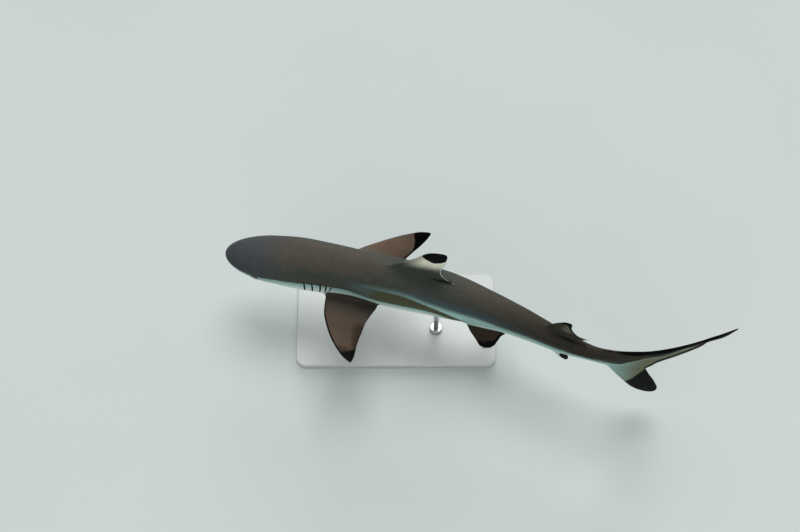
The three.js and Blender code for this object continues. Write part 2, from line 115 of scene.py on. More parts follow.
# Fins. Lead and chord are curves over the share of the height; sink and lift set the root and the free rear
# tip, flare is the radius by the body and thick the thickness at the root, in mm; black_from is the share of
# the height where the black tip starts, over the share of the chord. A paired fin's root lies out from the
# axis and up from it, and its tilt, sweep and pitch are in degrees.
FINS = {
    "first_dorsal": {
        "side": 1, "at": 30.8, "base": 9.7, "height": 9.35,
        "lead": ((0, 0), (0.3, 2.9), (0.6, 5.9), (0.85, 7.9), (1, 9.9)),
        "chord": ((0, 13.4), (0.12, 10.3), (0.3, 7.8), (0.6, 5.5), (0.85, 3.9), (1, 2.2)),
        "tip_round": 0.11, "tip_lean": 0.7, "thick": 13, "sink": 7, "lift": 5, "flare": 8,
        "black_from": ((0, 0.755), (0.126, 0.721), (0.4, 0.661), (0.614, 0.626), (0.807, 0.661), (1, 0.76)),
    },
    "second_dorsal": {
        "side": 1, "at": 62.6, "base": 4.8, "height": 5.5,
        "lead": ((0, 0), (0.5, 1.5), (1, 4)),
        "chord": ((0, 8.5), (0.15, 6.5), (0.4, 4.8), (0.8, 2.1), (1, 1.2)),
        "tip_round": 0.1, "tip_lean": 0.7, "thick": 8, "sink": 5, "lift": 33, "flare": 4,
        "black_from": (
            (0, 0.74), (0.34, 0.83), (0.62, 0.82), (0.77, 0.765), (0.886, 0.55), (0.93, 0.3), (1, 0.2),
        ),
    },
    "anal": {
        "side": -1, "at": 62.3, "base": 4.7, "height": 3.75,
        "lead": ((0, 0), (0.5, 1.9), (1, 4.3)),
        "chord": ((0, 7.2), (0.15, 5.5), (0.4, 4), (0.8, 2.3), (1, 1.1)),
        "tip_round": 0.18, "tip_lean": 0.7, "thick": 8, "sink": 5, "lift": 5, "flare": 4,
        "black_from": ((0, 0.93), (0.19, 0.88), (0.5, 0.593), (0.79, 0.396), (1, 0.33)),
    },
    "lower_lobe": {
        "side": -1, "at": 74.5, "base": 7, "height": 9,
        "lead": ((0, 0), (0.4, 2.75), (0.8, 5.65), (1, 7.05)),
        "chord": ((0, 7.8), (0.2, 7.1), (0.5, 6.3), (0.8, 5.1), (1, 4.3)),
        "tip_round": 0.24, "tip_lean": 0.6, "thick": 9, "sink": 7, "lift": 0, "flare": 4,
        "black_from": ((0, 0.64), (0.109, 0.593), (0.425, 0.434), (0.719, 0.239), (0.907, 0.096), (1, 0)),
    },
}
PECTORAL = {
    "at": 20.2, "out": 3.6, "up": -2.8, "base": 8, "height": 16,
    "lead": ((0, 0), (0.36, 0.8), (0.53, 1.85), (0.74, 3.75), (0.9, 5.85), (1, 7.5)),
    "chord": ((0, 10.4), (0.1, 9.8), (0.3, 8.5), (0.5, 7.1), (0.66, 5.6), (0.84, 3.6), (1, 1.2)),
    "tip_round": 0.09, "tip_lean": 0.6, "thick": 15, "sink": 14, "lift": 14, "flare": 7,
    "black_from": ((0, 0.885), (0.46, 0.85), (0.73, 0.82), (0.94, 0.765), (1, 0.73)),
}
PELVIC = {
    "at": 46.5, "out": 1.8, "up": -3.2, "base": 5, "height": 4.25,
    "lead": ((0, 0), (0.5, 2.15), (0.8, 4), (1, 4.55)),
    "chord": ((0, 8.9), (0.2, 7.5), (0.5, 5.75), (0.8, 3.55), (1, 2.95)),
    "tip_round": 0.33, "tip_lean": 0.5, "thick": 9, "sink": 9, "lift": 10, "flare": 5,
    "black_from": ((0, 0.86), (0.5, 0.78), (1, 0.62)),
}
FINS.update({
    "left_pectoral": {**PECTORAL, "side": -1, "tilt": 13.5, "sweep": 1, "pitch": 6, "curl": 0.6},
    "right_pectoral": {**PECTORAL, "side": 1, "tilt": -5.5, "sweep": 43, "pitch": 2, "curl": 6.3},
    "left_pelvic": {**PELVIC, "side": -1, "tilt": -28, "sweep": 0, "pitch": 6.5, "curl": 0},
    "right_pelvic": {**PELVIC, "side": 1, "tilt": -28, "sweep": 4, "pitch": 6.5, "curl": 0},
})
FIN_POINTS, FIN_LEVELS = 56, 52
FIN_EDGE = 0.5  # half the thickness of a fin's trailing edge
FIN_EDGE_ROUND = 0.33  # how squarely that edge is rounded
FIN_THINNING = 0.75  # share of its thickness that a fin loses on the way to its tip
FIN_END = 0.9995  # share of its height at the last ring
FLARE_ROUND, FLARE_FORWARD = 0.6, 1.6  # how the flare by the body rounds off, and how far it runs forwards
FIN_SEAM, CUT_SEAM = (12, 30), (1.2, 2)  # reach in mm, and rounds, of softening at the fins and at the cuts
SEAM_SPREAD = 14  # number of edges that the softening reaches at most

# Eyes and nostrils: at and out in hundredths, half sizes in mm and angles in degrees. An eye's middle lies
# `sunk` mm under the skin, and a nostril's level is a share of the belly's.
EYE = {"at": 6.4, "angle": 95, "sunk": 3.3, "long": 10.5, "high": 8.8, "deep": 5.5}
EYE_OPENING = (8.4, 7.0)  # half length and half height where the eye leaves the skin
SOCKET_GAP = 0.3  # between an eye and its socket
POLE_GAP = 0.02  # angle from an eye's pole to its first ring
PUPIL = (0.15, 0.5)  # half width and half height, as shares of the eye's
# Rings round the eye's opening: height in mm, place and half width as shares of the opening, and the part of
# the ring. They are the lid's rim, the groove beyond it, the brow and the third lid's fold.
LIDS = (
    (0.8, 1.14, 0.13, "all"), (-0.7, 1.42, 0.13, "all"), (0.6, 1.8, 0.35, "upper"), (0.5, 1.62, 0.1, "lower"),
)
NOSTRIL = {"at": 3.5, "out": 2.5, "level": 0.86, "long": 8, "wide": 2.5, "deep": 4, "slant": 35}
# Gill slits from front to back: station, top, bottom, and how much further back the top lies than the bottom.
GILL_SLITS = (
    (16.25, 0.9, -2.7, 0), (17.75, 1.05, -2.6, 0.05), (19.3, 1.1, -2.2, 0.25), (20.4, 1, -1.6, 0.35),
    (21.25, 0.65, -1.25, 0.45),
)
GILL_BOW, GILL_HALF = 0.12, 1.8  # how far a slit bows to the tail, and half its width in mm
# The mouth: front, corners and half width, the power of its arch, and the share of the half width it reaches.
MOUTH = {"front": 6.9, "back": 11.6, "corner": 4.0, "arch": 0.9, "end": 0.985}
# Forms that die away with distance: height and reach in mm.
GILL_LAP, GILL_DIP, JAW_TUCK, UPPER_LIP = (1.1, 5), (-0.8, 3.5), (-1.6, 9), (0.6, 4)
# The pits at the root of the tail: station, half length, half width as an angle, and depth in mm.
TAIL_PIT = {"at": 73.2, "long": 0.42, "turn": 0.5, "deep": 1.5}

# Lines of the markings on the body, as heights above the axis over the station: the upper border of the white
# belly, which is also the lower border of the dark band; the band's upper border; and the wedge's soft top.
BELLY_LINE = (
    (0, -0.9), (4, -0.46), (6.1, -0.36), (8.1, -0.15), (11.3, 0.12), (13.7, 0.32), (17.9, 0.58), (21.6, 0.7),
    (24.4, 0.7), (26.2, 0.2), (28.7, -0.5), (31.5, -0.85), (34.5, -0.78), (38.5, -0.8), (41.4, -1.05),
    (42.8, -1.5), (44.2, -2.3), (45.5, -3.2), (47, -3.2), (48.6, -2.3), (50.5, -1.5), (53, -0.7), (56, -0.2),
    (60, 0.1), (66, 0.22), (71, 0), (74, -0.25), (77, -0.1), (79.3, 1.6), (82, 3.6), (84.8, 4.9), (87.8, 7.1),
    (90.9, 8.4), (97.6, 11.8),
)
BAND_TOP = (
    (24, 2.3), (27, 2.3), (34.2, 2.3), (36.9, 1.92), (38.4, 1.57), (39.9, 1.12), (41.4, 0.73), (42.8, 0.32),
    (44.2, -0.24), (45.7, -1.1), (47.1, -1.9), (49, -2.7), (52, -3.6),
)
WEDGE_TOP = (
    (24, 3.3), (30.7, 3.5), (34, 3.43), (36.7, 3.16), (39.7, 2.5), (42.6, 2.2), (45.5, 1.85), (48.4, 1.5),
    (50.7, 1.35), (54.8, 1), (60.7, 1.15), (66.6, 1.05), (71.2, 0.5), (74, 1),
)
WEDGE_STRENGTH = ((24, 0), (29, 0.2), (35, 0.36), (40, 0.62), (44, 0.95), (66, 0.95), (73, 0.8), (77, 0))
WEDGE_SOFT = 2.1  # the height, at most, over which the wedge fades out below its top


# ---------------- settings


def linear(code):
    """An sRGB hex colour as linear red, green and blue: each channel by the sRGB curve."""
    channels = [int(code[i : i + 2], 16) / 255 for i in (1, 3, 5)]
    return [c / 12.92 if c <= 0.04045 else ((c + 0.055) / 1.055) ** 2.4 for c in channels]


def colour(name, description, code):
    """A colour property with its default given as an sRGB hex code."""
    return FloatVectorProperty(
        name=name, description=description, default=linear(code), subtype="COLOR", size=3, min=0, max=1
    )


def number(name, description, default, **kind):
    """A number property of zero or more, with a unit, a subtype or an upper limit where one fits."""
    return FloatProperty(name=name, description=description, default=default, min=0, **kind)


class ReefSharkSkin(bpy.types.PropertyGroup):
    """Colours and fine sizes of the skin."""

    crest: colour("Crest", "Warm brown along the top of the back", "#4c433a")
    back: colour("Back", "Olive grey of the back", "#3d3e37")
    shoulder: colour("Shoulder", "Olive grey of the flank over the gills", "#424139")
    # Flank: the skin's own cooler grey, made bluer to paint a sheen of reflected light on the flanks
    flank: colour("Flank", "Cooler grey of the upper flank", "#3c4b50")
    head: colour("Head", "Blue grey of the head and snout", "#3e4044")
    stalk: colour("Tail stalk", "Dark brown towards the tail", "#2d231b")
    band: colour("Band", "Olive brown band under the pale flank wedge", "#4c4e39")
    wedge: colour("Wedge", "Pale wedge on the flank", "#9cc0b9")
    # Belly border: darker than the white below it, partly the skin's own paler grey, partly painted shade
    # where the belly turns away from the light
    border: colour("Belly border", "Grey green of the belly just below its border", "#90b4ad")
    belly: colour("Belly", "White of the underside", "#cfdbd5")
    lobe: colour("Tail fin", "Olive grey sides of the tail fin", "#6a6b54")
    cream: colour("Cream", "Cream band under the first dorsal fin's tip", "#eeeed9")
    fin_root: colour("Fin root", "Grey of the paired fins by the body", "#6a655c")
    fin_outer: colour("Fin", "Reddish brown of the outer paired fins", "#6c5a4c")
    # Dark fins: the pelvic and anal fins' own dark brown, also laid on the pectoral fins as painted shade
    dusk: colour("Dark fins", "Dark brown of the pelvic and anal fins and of the pectorals' shade", "#231c16")
    black: colour("Black", "Black of the fin tips", "#020202")
    edge: colour("Edge", "Pale hairline on the first dorsal fin's rear edge", "#c9d6d2")
    # Slit lining: dark lining of the slits, nostrils and mouth, which also paints the shade inside them and
    # under the dorsal fins' rear tips
    lining_and_shade: colour("Slit lining", "Dark lining of the gill slits, nostrils and mouth", "#100d0c")
    denticle: number("Denticle", "Width of a skin scale as drawn, in mm", 0.9)
    mottle: number("Mottle", "Size of the soft clouding of the back, in mm", 34)
    roughness: number("Roughness", "Roughness of the skin", 0.47, max=1, subtype="FACTOR")


class ReefSharkEye(bpy.types.PropertyGroup):
    """Colours of the eyes."""

    iris: colour("Iris", "Pale bronze of the iris", "#9a8b62")
    rim: colour("Iris rim", "Dark ring round the iris", "#17140f")
    pupil: colour("Pupil", "Black of the upright pupil", "#020202")


class ReefSharkStand(bpy.types.PropertyGroup):
    """Finish of the display stand."""

    paint: colour("Paint", "Pale grey powder coat of the base", "#cfd3d0")
    steel: colour("Steel", "Brushed stainless steel of the rods and collars", "#b9bcbe")
    bevel: number("Bevel", "Radius of the base's rounded upper edge, in mm", 2.0)
    polish_line: number("Brushing", "Spacing of the brushing marks on the steel as drawn, in mm", 0.5)


class ReefSharkStage(bpy.types.PropertyGroup):
    """The floor, the light and the camera."""

    floor: colour("Floor", "Plain pale floor", "#ccd4d1")
    key: number("Key light", "Strength of the overhead light", 1.55)
    rim: number("Rim light", "Strength of the low light from behind", 1.0)
    fill: number("Fill light", "Strength of the front light", 0.6)
    sky: number("Sky", "Strength of the even light from all round", 0.34)
    elevation: number("Elevation", "How steeply the camera looks down", math.radians(60), subtype="ANGLE")
    distance: number("Distance", "From the camera to the snout, along its view", 4.292, unit="LENGTH")
    lens: number("Lens", "Focal length in mm", 85, unit="CAMERA")


# ---------------- curves


def smooth_curve(knots):
    """A curve through (x, y) knots that never overshoots them: on each span a cubic whose slope at a knot is
    the harmonic mean of its neighbours' slopes, or zero at a turning point."""
    x, y = np.array(knots, float).T
    slope = np.diff(y) / np.diff(x)
    product, total = slope[:-1] * slope[1:], slope[:-1] + slope[1:]
    inner = np.where(product > 0, 2 * product / np.where(product > 0, total, 1), 0)
    tangent = np.concatenate((slope[:1], inner, slope[-1:]))

    def curve(at):
        at = np.clip(at, x[0], x[-1])
        i = np.clip(np.searchsorted(x, at) - 1, 0, len(x) - 2)
        span, rise = x[i + 1] - x[i], y[i + 1] - y[i]
        t = (at - x[i]) / span
        start, end = tangent[i] * span - rise, rise - tangent[i + 1] * span
        return y[i] + t * rise + t * (1 - t) * ((1 - t) * start + t * end)

    return curve


def quarter_round(t):
    """A quarter ellipse: 0 at t = 0, rising at once and levelling off to 1 at t = 1."""
    return np.sqrt(1 - (1 - np.clip(t, 0, 1)) ** 2)


def step(low, high, value):
    """0 up to low, 1 from high on, and between them the even S curve 3t^2 - 2t^3."""
    t = np.clip((value - low) / (high - low), 0, 1)
    return t * t * (3 - 2 * t)


def bell(t):
    """A bell curve, 1 at t = 0 and 0.37 at t = 1."""
    return np.exp(-t * t)


heading = smooth_curve(HEADING)
half_width, back_height, belly_height, widest_height = (
    smooth_curve([(row[0], row[column]) for row in SECTIONS]) for column in (1, 2, 3, 4)
)
back_shape, belly_shape = smooth_curve(BACK_SHAPE), smooth_curve(BELLY_SHAPE)

# The axis in plan, one point a millimetre: each step goes one millimetre along the heading at its middle.
_turn = np.radians(heading((np.arange(1, TAIL_END * UNIT + 1) - 0.5) / UNIT))
SPINE = np.concatenate(([[0, 0]], np.cumsum(np.stack((np.cos(_turn), -np.sin(_turn)), 1), 0)))


def spine_at(along):
    """The axis in plan at a distance from the snout, straight between its points and beyond its ends."""
    i = np.clip(np.floor(along).astype(int), 0, len(SPINE) - 2)
    return SPINE[i] + (along - i)[..., None] * (SPINE[i + 1] - SPINE[i])


SPINE -= spine_at(np.array(BALANCE_STATION * UNIT))


def bend(along, across, up):
    """Straight coordinates to the swimming curve: the axis at `along`, plus `across` at a right angle to the
    heading there, plus `up`."""
    along, across, up = np.broadcast_arrays(*(np.asarray(v, float) for v in (along, across, up)))
    turn = np.radians(heading(along / UNIT))
    axis = spine_at(along)
    plan = axis + across[..., None] * np.stack((np.sin(turn), np.cos(turn)), -1)
    return np.concatenate((plan, (up + AXIS_HEIGHT)[..., None]), -1)


def straighten(points):
    """The inverse of bend: `along` is moved by the part of the offset from the axis that lies along the
    heading until none is left."""
    along = np.interp(points[..., 0], SPINE[:, 0], np.arange(len(SPINE)))
    for _ in range(16):
        turn = np.radians(heading(along / UNIT))
        offset = points[..., :2] - spine_at(along)
        along = along + offset[..., 0] * np.cos(turn) - offset[..., 1] * np.sin(turn)
    across = offset[..., 0] * np.sin(turn) + offset[..., 1] * np.cos(turn)
    return along, across, points[..., 2] - AXIS_HEIGHT


# ---------------- body shape


def section(station, upper):
    """Half width, reach from the widest level to the back or belly, that level, and the outline's power."""
    level = widest_height(station) * UNIT
    reach = np.where(upper, back_height(station) * UNIT - level, level - belly_height(station) * UNIT)
    power = np.where(upper, back_shape(station), belly_shape(station))
    tip = quarter_round((TAIL_END - station) / TAIL_ROUND)
    half = half_width(station) * UNIT * quarter_round(station / SNOUT_WIDE) * tip
    reach = reach * quarter_round(station / SNOUT_HIGH) * tip
    return np.maximum(half, LEAST), np.maximum(reach, LEAST), level, power


def skin_point(station, angle, grow=0.0):
    """The skin at a station and an angle from the back: a superellipse, whose radius in the direction
    (sine, cosine) is (|sine|^p + |cosine|^p)^(-1/p), stretched to the half width and the reach."""
    side, rise = np.sin(angle), np.cos(angle)
    half, reach, level, power = section(station, rise > 0)
    bulge = (np.abs(side) ** power + np.abs(rise) ** power) ** (-1 / power)
    return (half + grow) * bulge * side, level + (reach + grow) * bulge * rise


def around(along, across, up):
    """The inverse of skin_point: the angle round the section, and the distance outside the plain skin."""
    station = along / UNIT
    half, reach, level, power = section(station, up > widest_height(station) * UNIT)
    side, rise = across / half, (up - level) / reach
    swell = np.maximum(np.abs(side) ** power + np.abs(rise) ** power, 1e-9) ** (1 / power)
    return np.arctan2(side, rise), np.hypot(across, up - level) * (1 - 1 / swell)


def mouth_arch(across):
    """How far behind the snout the mouth's line runs, and its slope: a round arch, 1 - (1 - q^2)^(arch / 2)
    of its length at the share q of its half width."""
    reach, length = MOUTH["corner"] * UNIT, (MOUTH["back"] - MOUTH["front"]) * UNIT
    q = np.clip(np.abs(across) / reach, 0, MOUTH["end"])
    power = MOUTH["arch"] / 2
    slope = length * power * (1 - q * q) ** (power - 1) * 2 * q / reach
    return MOUTH["front"] * UNIT + length * (1 - (1 - q * q) ** power), slope


def slit_line(slit, up):
    """Where a gill slit runs at a height, slanting and bowed towards the tail; and its share of the slit's
    height."""
    station, top, bottom, slant = slit
    share = (up / UNIT - bottom) / (top - bottom)
    inside = np.clip(share, 0, 1)
    return (station + slant * (inside - 0.5) + GILL_BOW * np.sin(np.pi * inside)) * UNIT, share


def slit_taper(share, least=0.0):
    """A gill slit's width at a share of its height, as a share of its middle's: an ellipse whose ends lie a
    little beyond the slit's."""
    return np.sqrt(np.clip(1 - (2 * share - 1) ** 2 / 1.1, least, 1))


def fade(form, distance):
    """A small form, given as its height and reach in mm, that dies away exponentially with distance."""
    height, reach = form
    return height * np.exp(-np.maximum(distance, 0) / reach)


def relief(along, across, up):
    """Height of the skin's small forms above the plain section, in mm: the sum of bell-shaped rims, folds and
    pits around the eyes, lips, nostrils, gill slits and the root of the tail."""
    station = along / UNIT
    angle, _ = around(along, across, up)
    out = np.abs(across)
    under = step(0, -8, up - widest_height(station) * UNIT)

    # Round the eye, on the side of the head only.
    eye_out, eye_up = skin_point(np.array(EYE["at"]), np.radians(EYE["angle"]))
    x, z = (along - EYE["at"] * UNIT) / EYE_OPENING[0], (up - eye_up) / EYE_OPENING[1]
    ring = np.hypot(x, z)
    above = np.clip(z / np.maximum(ring, 0.1), -1, 1)
    parts = {"all": 1, "upper": np.clip(above, 0, 1), "lower": np.clip(-above, 0, 1)}
    lids = sum(tall * bell((ring - middle) / wide) * parts[part] for tall, middle, wide, part in LIDS)
    height = step(0.4, 0.7, out / eye_out) * lids

    # Gills: the skin in front of each slit laps over, and the skin behind it lies lower.
    for slit in GILL_SLITS:
        line, share = slit_line(slit, up)
        gap = along - line
        window = step(-0.12, 0.18, share) * step(1.12, 0.8, share)
        height = height + window * np.where(gap < 0, fade(GILL_LAP, -gap), fade(GILL_DIP, gap))

    # Lips: behind the arch of the mouth the lower jaw tucks in, with a soft lip. The upper lip stands out.
    arch, slope = mouth_arch(across)
    inside = (along - arch) / np.sqrt(1 + slope**2)
    jaw = np.where(
        inside > 0, 0.8 * bell((inside - 5) / 3) + fade(JAW_TUCK, inside), fade(UPPER_LIP, -inside)
    )
    beside = step(1.04, 0.9, out / (MOUTH["corner"] * UNIT))
    height = height + under * beside * jaw * step(17, 13, station)

    # Nostrils: a low rim with a flap on its snout side.
    x, z = along - NOSTRIL["at"] * UNIT, out - NOSTRIL["out"] * UNIT
    rim, flap = np.hypot(x / 7, z / 9), np.hypot((x + 4) / 3, z / 5)
    height = height + under * (0.5 * bell((rim - 0.9) / 0.25) + 0.9 * bell(flap))

    # The pits over and under the root of the tail.
    from_middle = bell(angle / TAIL_PIT["turn"]) + bell((np.pi - np.abs(angle)) / TAIL_PIT["turn"])
    return height - TAIL_PIT["deep"] * bell((station - TAIL_PIT["at"]) / TAIL_PIT["long"]) * from_middle


# ---------------- meshes


def closed_surface(name, rings):
    """A closed mesh through rings of points in mm, (ring, point, 3): four-sided faces between neighbouring
    rings and a fan round the middle of each end ring. Faces are turned round if its volume is negative."""
    count, points = rings.shape[:2]
    vertices = np.concatenate((rings.reshape(-1, 3), rings[[0, -1]].mean(1)))
    here, beside = np.arange(points), np.roll(np.arange(points), -1)
    row = np.arange(count - 1)[:, None] * points
    quads = np.stack((row + here, row + here + points, row + beside + points, row + beside), -1)
    quads = quads.reshape(-1, 4)
    last, pole = (count - 1) * points, np.full(points, count * points)
    first_fan = np.stack((pole, here, beside), -1)
    last_fan = np.stack((pole + 1, last + beside, last + here), -1)
    fans = np.concatenate((first_fan, last_fan))
    a, b, c, d = (vertices[i] for i in np.concatenate((quads, fans[:, [0, 1, 2, 2]])).T)
    if (np.cross(a, b) * c + np.cross(a, c) * d).sum() < 0:
        quads, fans = quads[:, ::-1], fans[:, ::-1]
    mesh = bpy.data.meshes.new(name)
    mesh.from_pydata((vertices * MM).tolist(), [], quads.tolist() + fans.tolist())
    mesh.polygons.foreach_set("use_smooth", np.ones(len(mesh.polygons), bool))
    return mesh


def read(items, key, width=1, kind=np.int32):
    """A value of every item of a mesh, as rows of a width."""
    values = np.empty(len(items) * width, kind)
    items.foreach_get(key, values)
    return values.reshape(-1, width)


def mesh_points(mesh):
    """The vertices of a mesh, in mm."""
    return read(mesh.vertices, "co", 3, float) / MM


def body_mesh():
    """The body: a ring of skin points at each station, raised by the relief, on the swimming curve."""
    nose = RING_SPANS[0][0] * (np.arange(1, NOSE_RINGS + 1) / NOSE_RINGS) ** 2
    spans = [np.linspace(a, b, round((b - a) / gap) + 1)[1:] for a, b, gap in RING_SPANS]
    station = np.concatenate([nose, *spans])[:, None]
    turn = 2 * np.pi * np.arange(RING_POINTS) / RING_POINTS
    angle = (turn + SIDE_DENSITY * np.sin(2 * turn) / 2)[None]
    across, up = skin_point(station, angle)
    along = station * UNIT + 0 * angle
    across, up = skin_point(station, angle, relief(along, across, up))
    return closed_surface("body", bend(along, across, up))


def fin_frame(fin):
    """A paired fin's root and its directions to the tip, to the tail and through its thickness."""
    at = np.array(fin["at"] * UNIT)
    root = bend(at, fin["side"] * fin["out"] * UNIT, fin["up"] * UNIT)
    turn, tilt, pitch = (math.radians(value) for value in (heading(at / UNIT), fin["tilt"], fin["pitch"]))
    plan_out = fin["side"] * math.cos(tilt)
    out = np.array((math.sin(turn) * plan_out, math.cos(turn) * plan_out, math.sin(tilt)))
    back = np.array((math.cos(turn) * math.cos(pitch), -math.sin(turn) * math.cos(pitch), -math.sin(pitch)))
    thick = np.cross(out, back)
    return root, out, back, thick / np.linalg.norm(thick)


def fin_height(fin, x):
    """The body's edge under a fin on the midline, x mm behind the fin's front."""
    edge = back_height if fin["side"] > 0 else belly_height
    start, end = (edge(fin["at"] + more) * UNIT for more in (0, fin["base"]))
    return start + (end - start) * x / (fin["base"] * UNIT)


def swept(fin):
    """The cosine and sine of a paired fin's sweep."""
    sweep = math.radians(fin["sweep"])
    return math.cos(sweep), math.sin(sweep)


def fin_mesh(name, fin):
    """A fin: rings from root to tip, each a thin wing section whose half thickness is 2.6 sqrt(c) (1 - c) of
    the fin's at the share c of the chord. By the body it flares out in a quarter circle, which fillets the
    joint."""
    share = (1 - np.cos(np.pi * np.linspace(0, 1, FIN_LEVELS))) / 2
    v = np.minimum(share, FIN_END)[:, None]
    turn = 2 * np.pi * np.arange(FIN_POINTS) / FIN_POINTS
    c = (1 - np.cos(turn)) / 2
    face, aside = np.sign(np.round(np.sin(turn), 9)), np.abs(np.sin(turn))
    tip = quarter_round((1 - v) / fin["tip_round"])
    full = smooth_curve(fin["chord"])(v) * UNIT
    length = full * tip
    front = smooth_curve(fin["lead"])(v) * UNIT + (full - length) * fin["tip_lean"]
    thick = fin["thick"] * (1 - FIN_THINNING * v) * tip / 2
    blunt = FIN_EDGE * aside**FIN_EDGE_ROUND * np.minimum(1, 4 * tip)
    x = front + c * length
    y = face * np.maximum(thick * 2.6 * np.sqrt(c) * (1 - c), blunt)
    z = fin["height"] * UNIT * v - fin["sink"] * (1 - v) + fin["lift"] * c * c * (1 - v) ** 3
    _, clear = around(*straighten(placed_fin(fin, x, y, z)))
    gap = np.clip(fin["flare"] - clear, 0, fin["flare"])
    flare = (fin["flare"] - np.sqrt(fin["flare"] ** 2 - gap**2)) * step(4, -10, x - fin["base"] * UNIT)
    y = y + face * aside**FLARE_ROUND * flare
    x = x - FLARE_FORWARD * np.clip(np.cos(turn), 0, 1) ** 6 * flare
    return closed_surface(name, placed_fin(fin, x, y, z))


def curl_of(fin, z):
    """How far a paired fin is curled up out of its plane: its curl, times the square of the share of its
    height."""
    return fin["curl"] * UNIT * (np.maximum(z, 0) / (fin["height"] * UNIT)) ** 2


def placed_fin(fin, x, y, z):
    """Points of a fin, x to the tail, y through it and z to the tip, at their place on the shark. A paired
    fin is swept back about its root in its own plane and curled up towards its tip."""
    if "tilt" not in fin:
        return bend(fin["at"] * UNIT + x, y * fin["side"], fin_height(fin, x) + fin["side"] * z)
    root, out, back, thick = fin_frame(fin)
    cos, sin = swept(fin)
    y = y + curl_of(fin, z) * np.sign(thick[2])
    parts = ((x * cos + z * sin, back), (z * cos - x * sin, out), (y, thick))
    return root + sum(amount[..., None] * direction for amount, direction in parts)


def eye_frame(side):
    """The middle of an eye and its directions to the tail, up and outwards, from the skin around it."""
    angle = math.radians(EYE["angle"])
    at, ahead = (
        bend(station * UNIT, side * across, up)
        for station in (EYE["at"], EYE["at"] - 1)
        for across, up in (skin_point(np.array(station), angle),)
    )
    forward = (ahead - at) / np.linalg.norm(ahead - at)
    up = np.array((0, 0, 1)) - forward * forward[2]
    up /= np.linalg.norm(up)
    outward = np.cross(forward, up)
    outward *= np.sign(outward[1] * side)
    return at - EYE["sunk"] * outward, -forward, up, outward


def circle(count):
    """Evenly spaced angles once round, in radians."""
    return np.linspace(0, 2 * math.pi, count, endpoint=False)


def eye_rings(side, grow=0.0):
    """An eye as an ellipsoid whose poles are its outermost and innermost points."""
    centre, tailward, up, outward = eye_frame(side)
    polar = np.linspace(POLE_GAP, math.pi - POLE_GAP, 48)[:, None, None]
    turn = circle(72)[None, :, None]
    long, high, deep = (EYE[key] + grow for key in ("long", "high", "deep"))
    flat = tailward * long * np.cos(turn) + up * high * np.sin(turn)
    return centre + outward * deep * np.cos(polar) + flat * np.sin(polar)


def lens_rings(path, side, depth, half_wide, half_deep):
    """A closed cutter along a path, carried from straight coordinates onto the swimming curve: at each point
    an ellipse, half_wide along `side` and half_deep along `depth`, that closes at both ends."""
    turn = circle(16)[None, :, None]
    side, depth = (np.broadcast_to(direction, path.shape)[:, None] for direction in (side, depth))
    rings = (
        path[:, None]
        + side * half_wide[:, None, None] * np.cos(turn)
        + depth * half_deep[:, None, None] * np.sin(turn)
    )
    return bend(rings[..., 0], rings[..., 1], rings[..., 2])


def slit_rings(slit, side):
    """A gill slit's cutter: a blade that follows the slit's line down the flank and tapers at both ends."""
    share = np.linspace(-0.02, 1.02, 40)
    up = (slit[2] + (slit[1] - slit[2]) * share) * UNIT
    along, _ = slit_line(slit, up)
    half, reach, level, power = section(along / UNIT, up > widest_height(along / UNIT) * UNIT)
    out = half * (1 - (np.abs(up - level) / reach) ** power) ** (1 / power)
    path = np.stack((along, side * out, up), -1)
    taper = slit_taper(share, 0.004)
    return lens_rings(path, (0.95, side * 0.3, 0), (-0.3, side * 0.95, 0), GILL_HALF * taper, 6 * taper)


def mouth_rings():
    """The mouth's cutter: a thin blade along the arch of the mouth, standing across the underside's skin."""
    q = np.sin(np.linspace(-1.35, 1.35, 120))
    across = q * MOUTH["corner"] * UNIT
    along, slope = mouth_arch(across)
    half, reach, level, power = section(along / UNIT, np.zeros(len(q), bool))
    up = level - reach * (1 - (np.abs(across) / half) ** power) ** (1 / power)
    path = np.stack((along, across, up + 2), -1)
    side = np.stack((np.ones(len(q)), -np.sign(q) * slope, 0 * q), -1)
    side /= np.linalg.norm(side, axis=1)[:, None]
    taper = np.sqrt(np.clip(1 - (q / MOUTH["end"]) ** 2, 0.002, 1)) ** 0.7
    return lens_rings(path, side, (0.25, 0, 0.97), 0.9 * taper, 2 + 7 * taper)


def nostril_rings(side):
    """A nostril's cutter: an ellipsoid slanting back and out under the snout."""
    at = np.array(NOSTRIL["at"])
    belly = float(belly_height(at) * UNIT * quarter_round(at / SNOUT_HIGH))
    polar = np.linspace(0.03, math.pi - 0.03, 24)
    sin, cos = math.sin(math.radians(NOSTRIL["slant"])), math.cos(math.radians(NOSTRIL["slant"]))
    middle = np.array((at * UNIT, side * NOSTRIL["out"] * UNIT, NOSTRIL["level"] * belly))
    path = middle + np.array((-sin, side * cos, 0)) * NOSTRIL["long"] * np.cos(polar)[:, None]
    wide, deep = (NOSTRIL[key] * np.sin(polar) for key in ("wide", "deep"))
    return lens_rings(path, (cos, side * sin, 0), (0, 0, 1), wide, deep)


def combine(base, tools, operation):
    """The mesh that a boolean makes of a base mesh and tool meshes. Faces keep their material numbers: 0 on
    the base, 1 on the tools."""
    holders = []
    for order, mesh in enumerate([base, *tools]):
        for _ in range(2 - len(mesh.materials)):
            mesh.materials.append(None)
        if order:
            mesh.polygons.foreach_set("material_index", np.ones(len(mesh.polygons), np.int32))
        holders.append(bpy.data.objects.new(mesh.name, mesh))
        bpy.context.scene.collection.objects.link(holders[-1])
    for holder in holders[1:]:
        modifier = holders[0].modifiers.new("combine", "BOOLEAN")
        modifier.operation, modifier.solver, modifier.object = operation, "MANIFOLD", holder
    shape = holders[0].evaluated_get(bpy.context.evaluated_depsgraph_get())
    made = bpy.data.meshes.new_from_object(shape)
    for holder in holders:
        mesh = holder.data
        bpy.data.objects.remove(holder)
        bpy.data.meshes.remove(mesh)
    if not made.polygons:
        raise RuntimeError(f"{operation} left nothing of the skin")
    return made


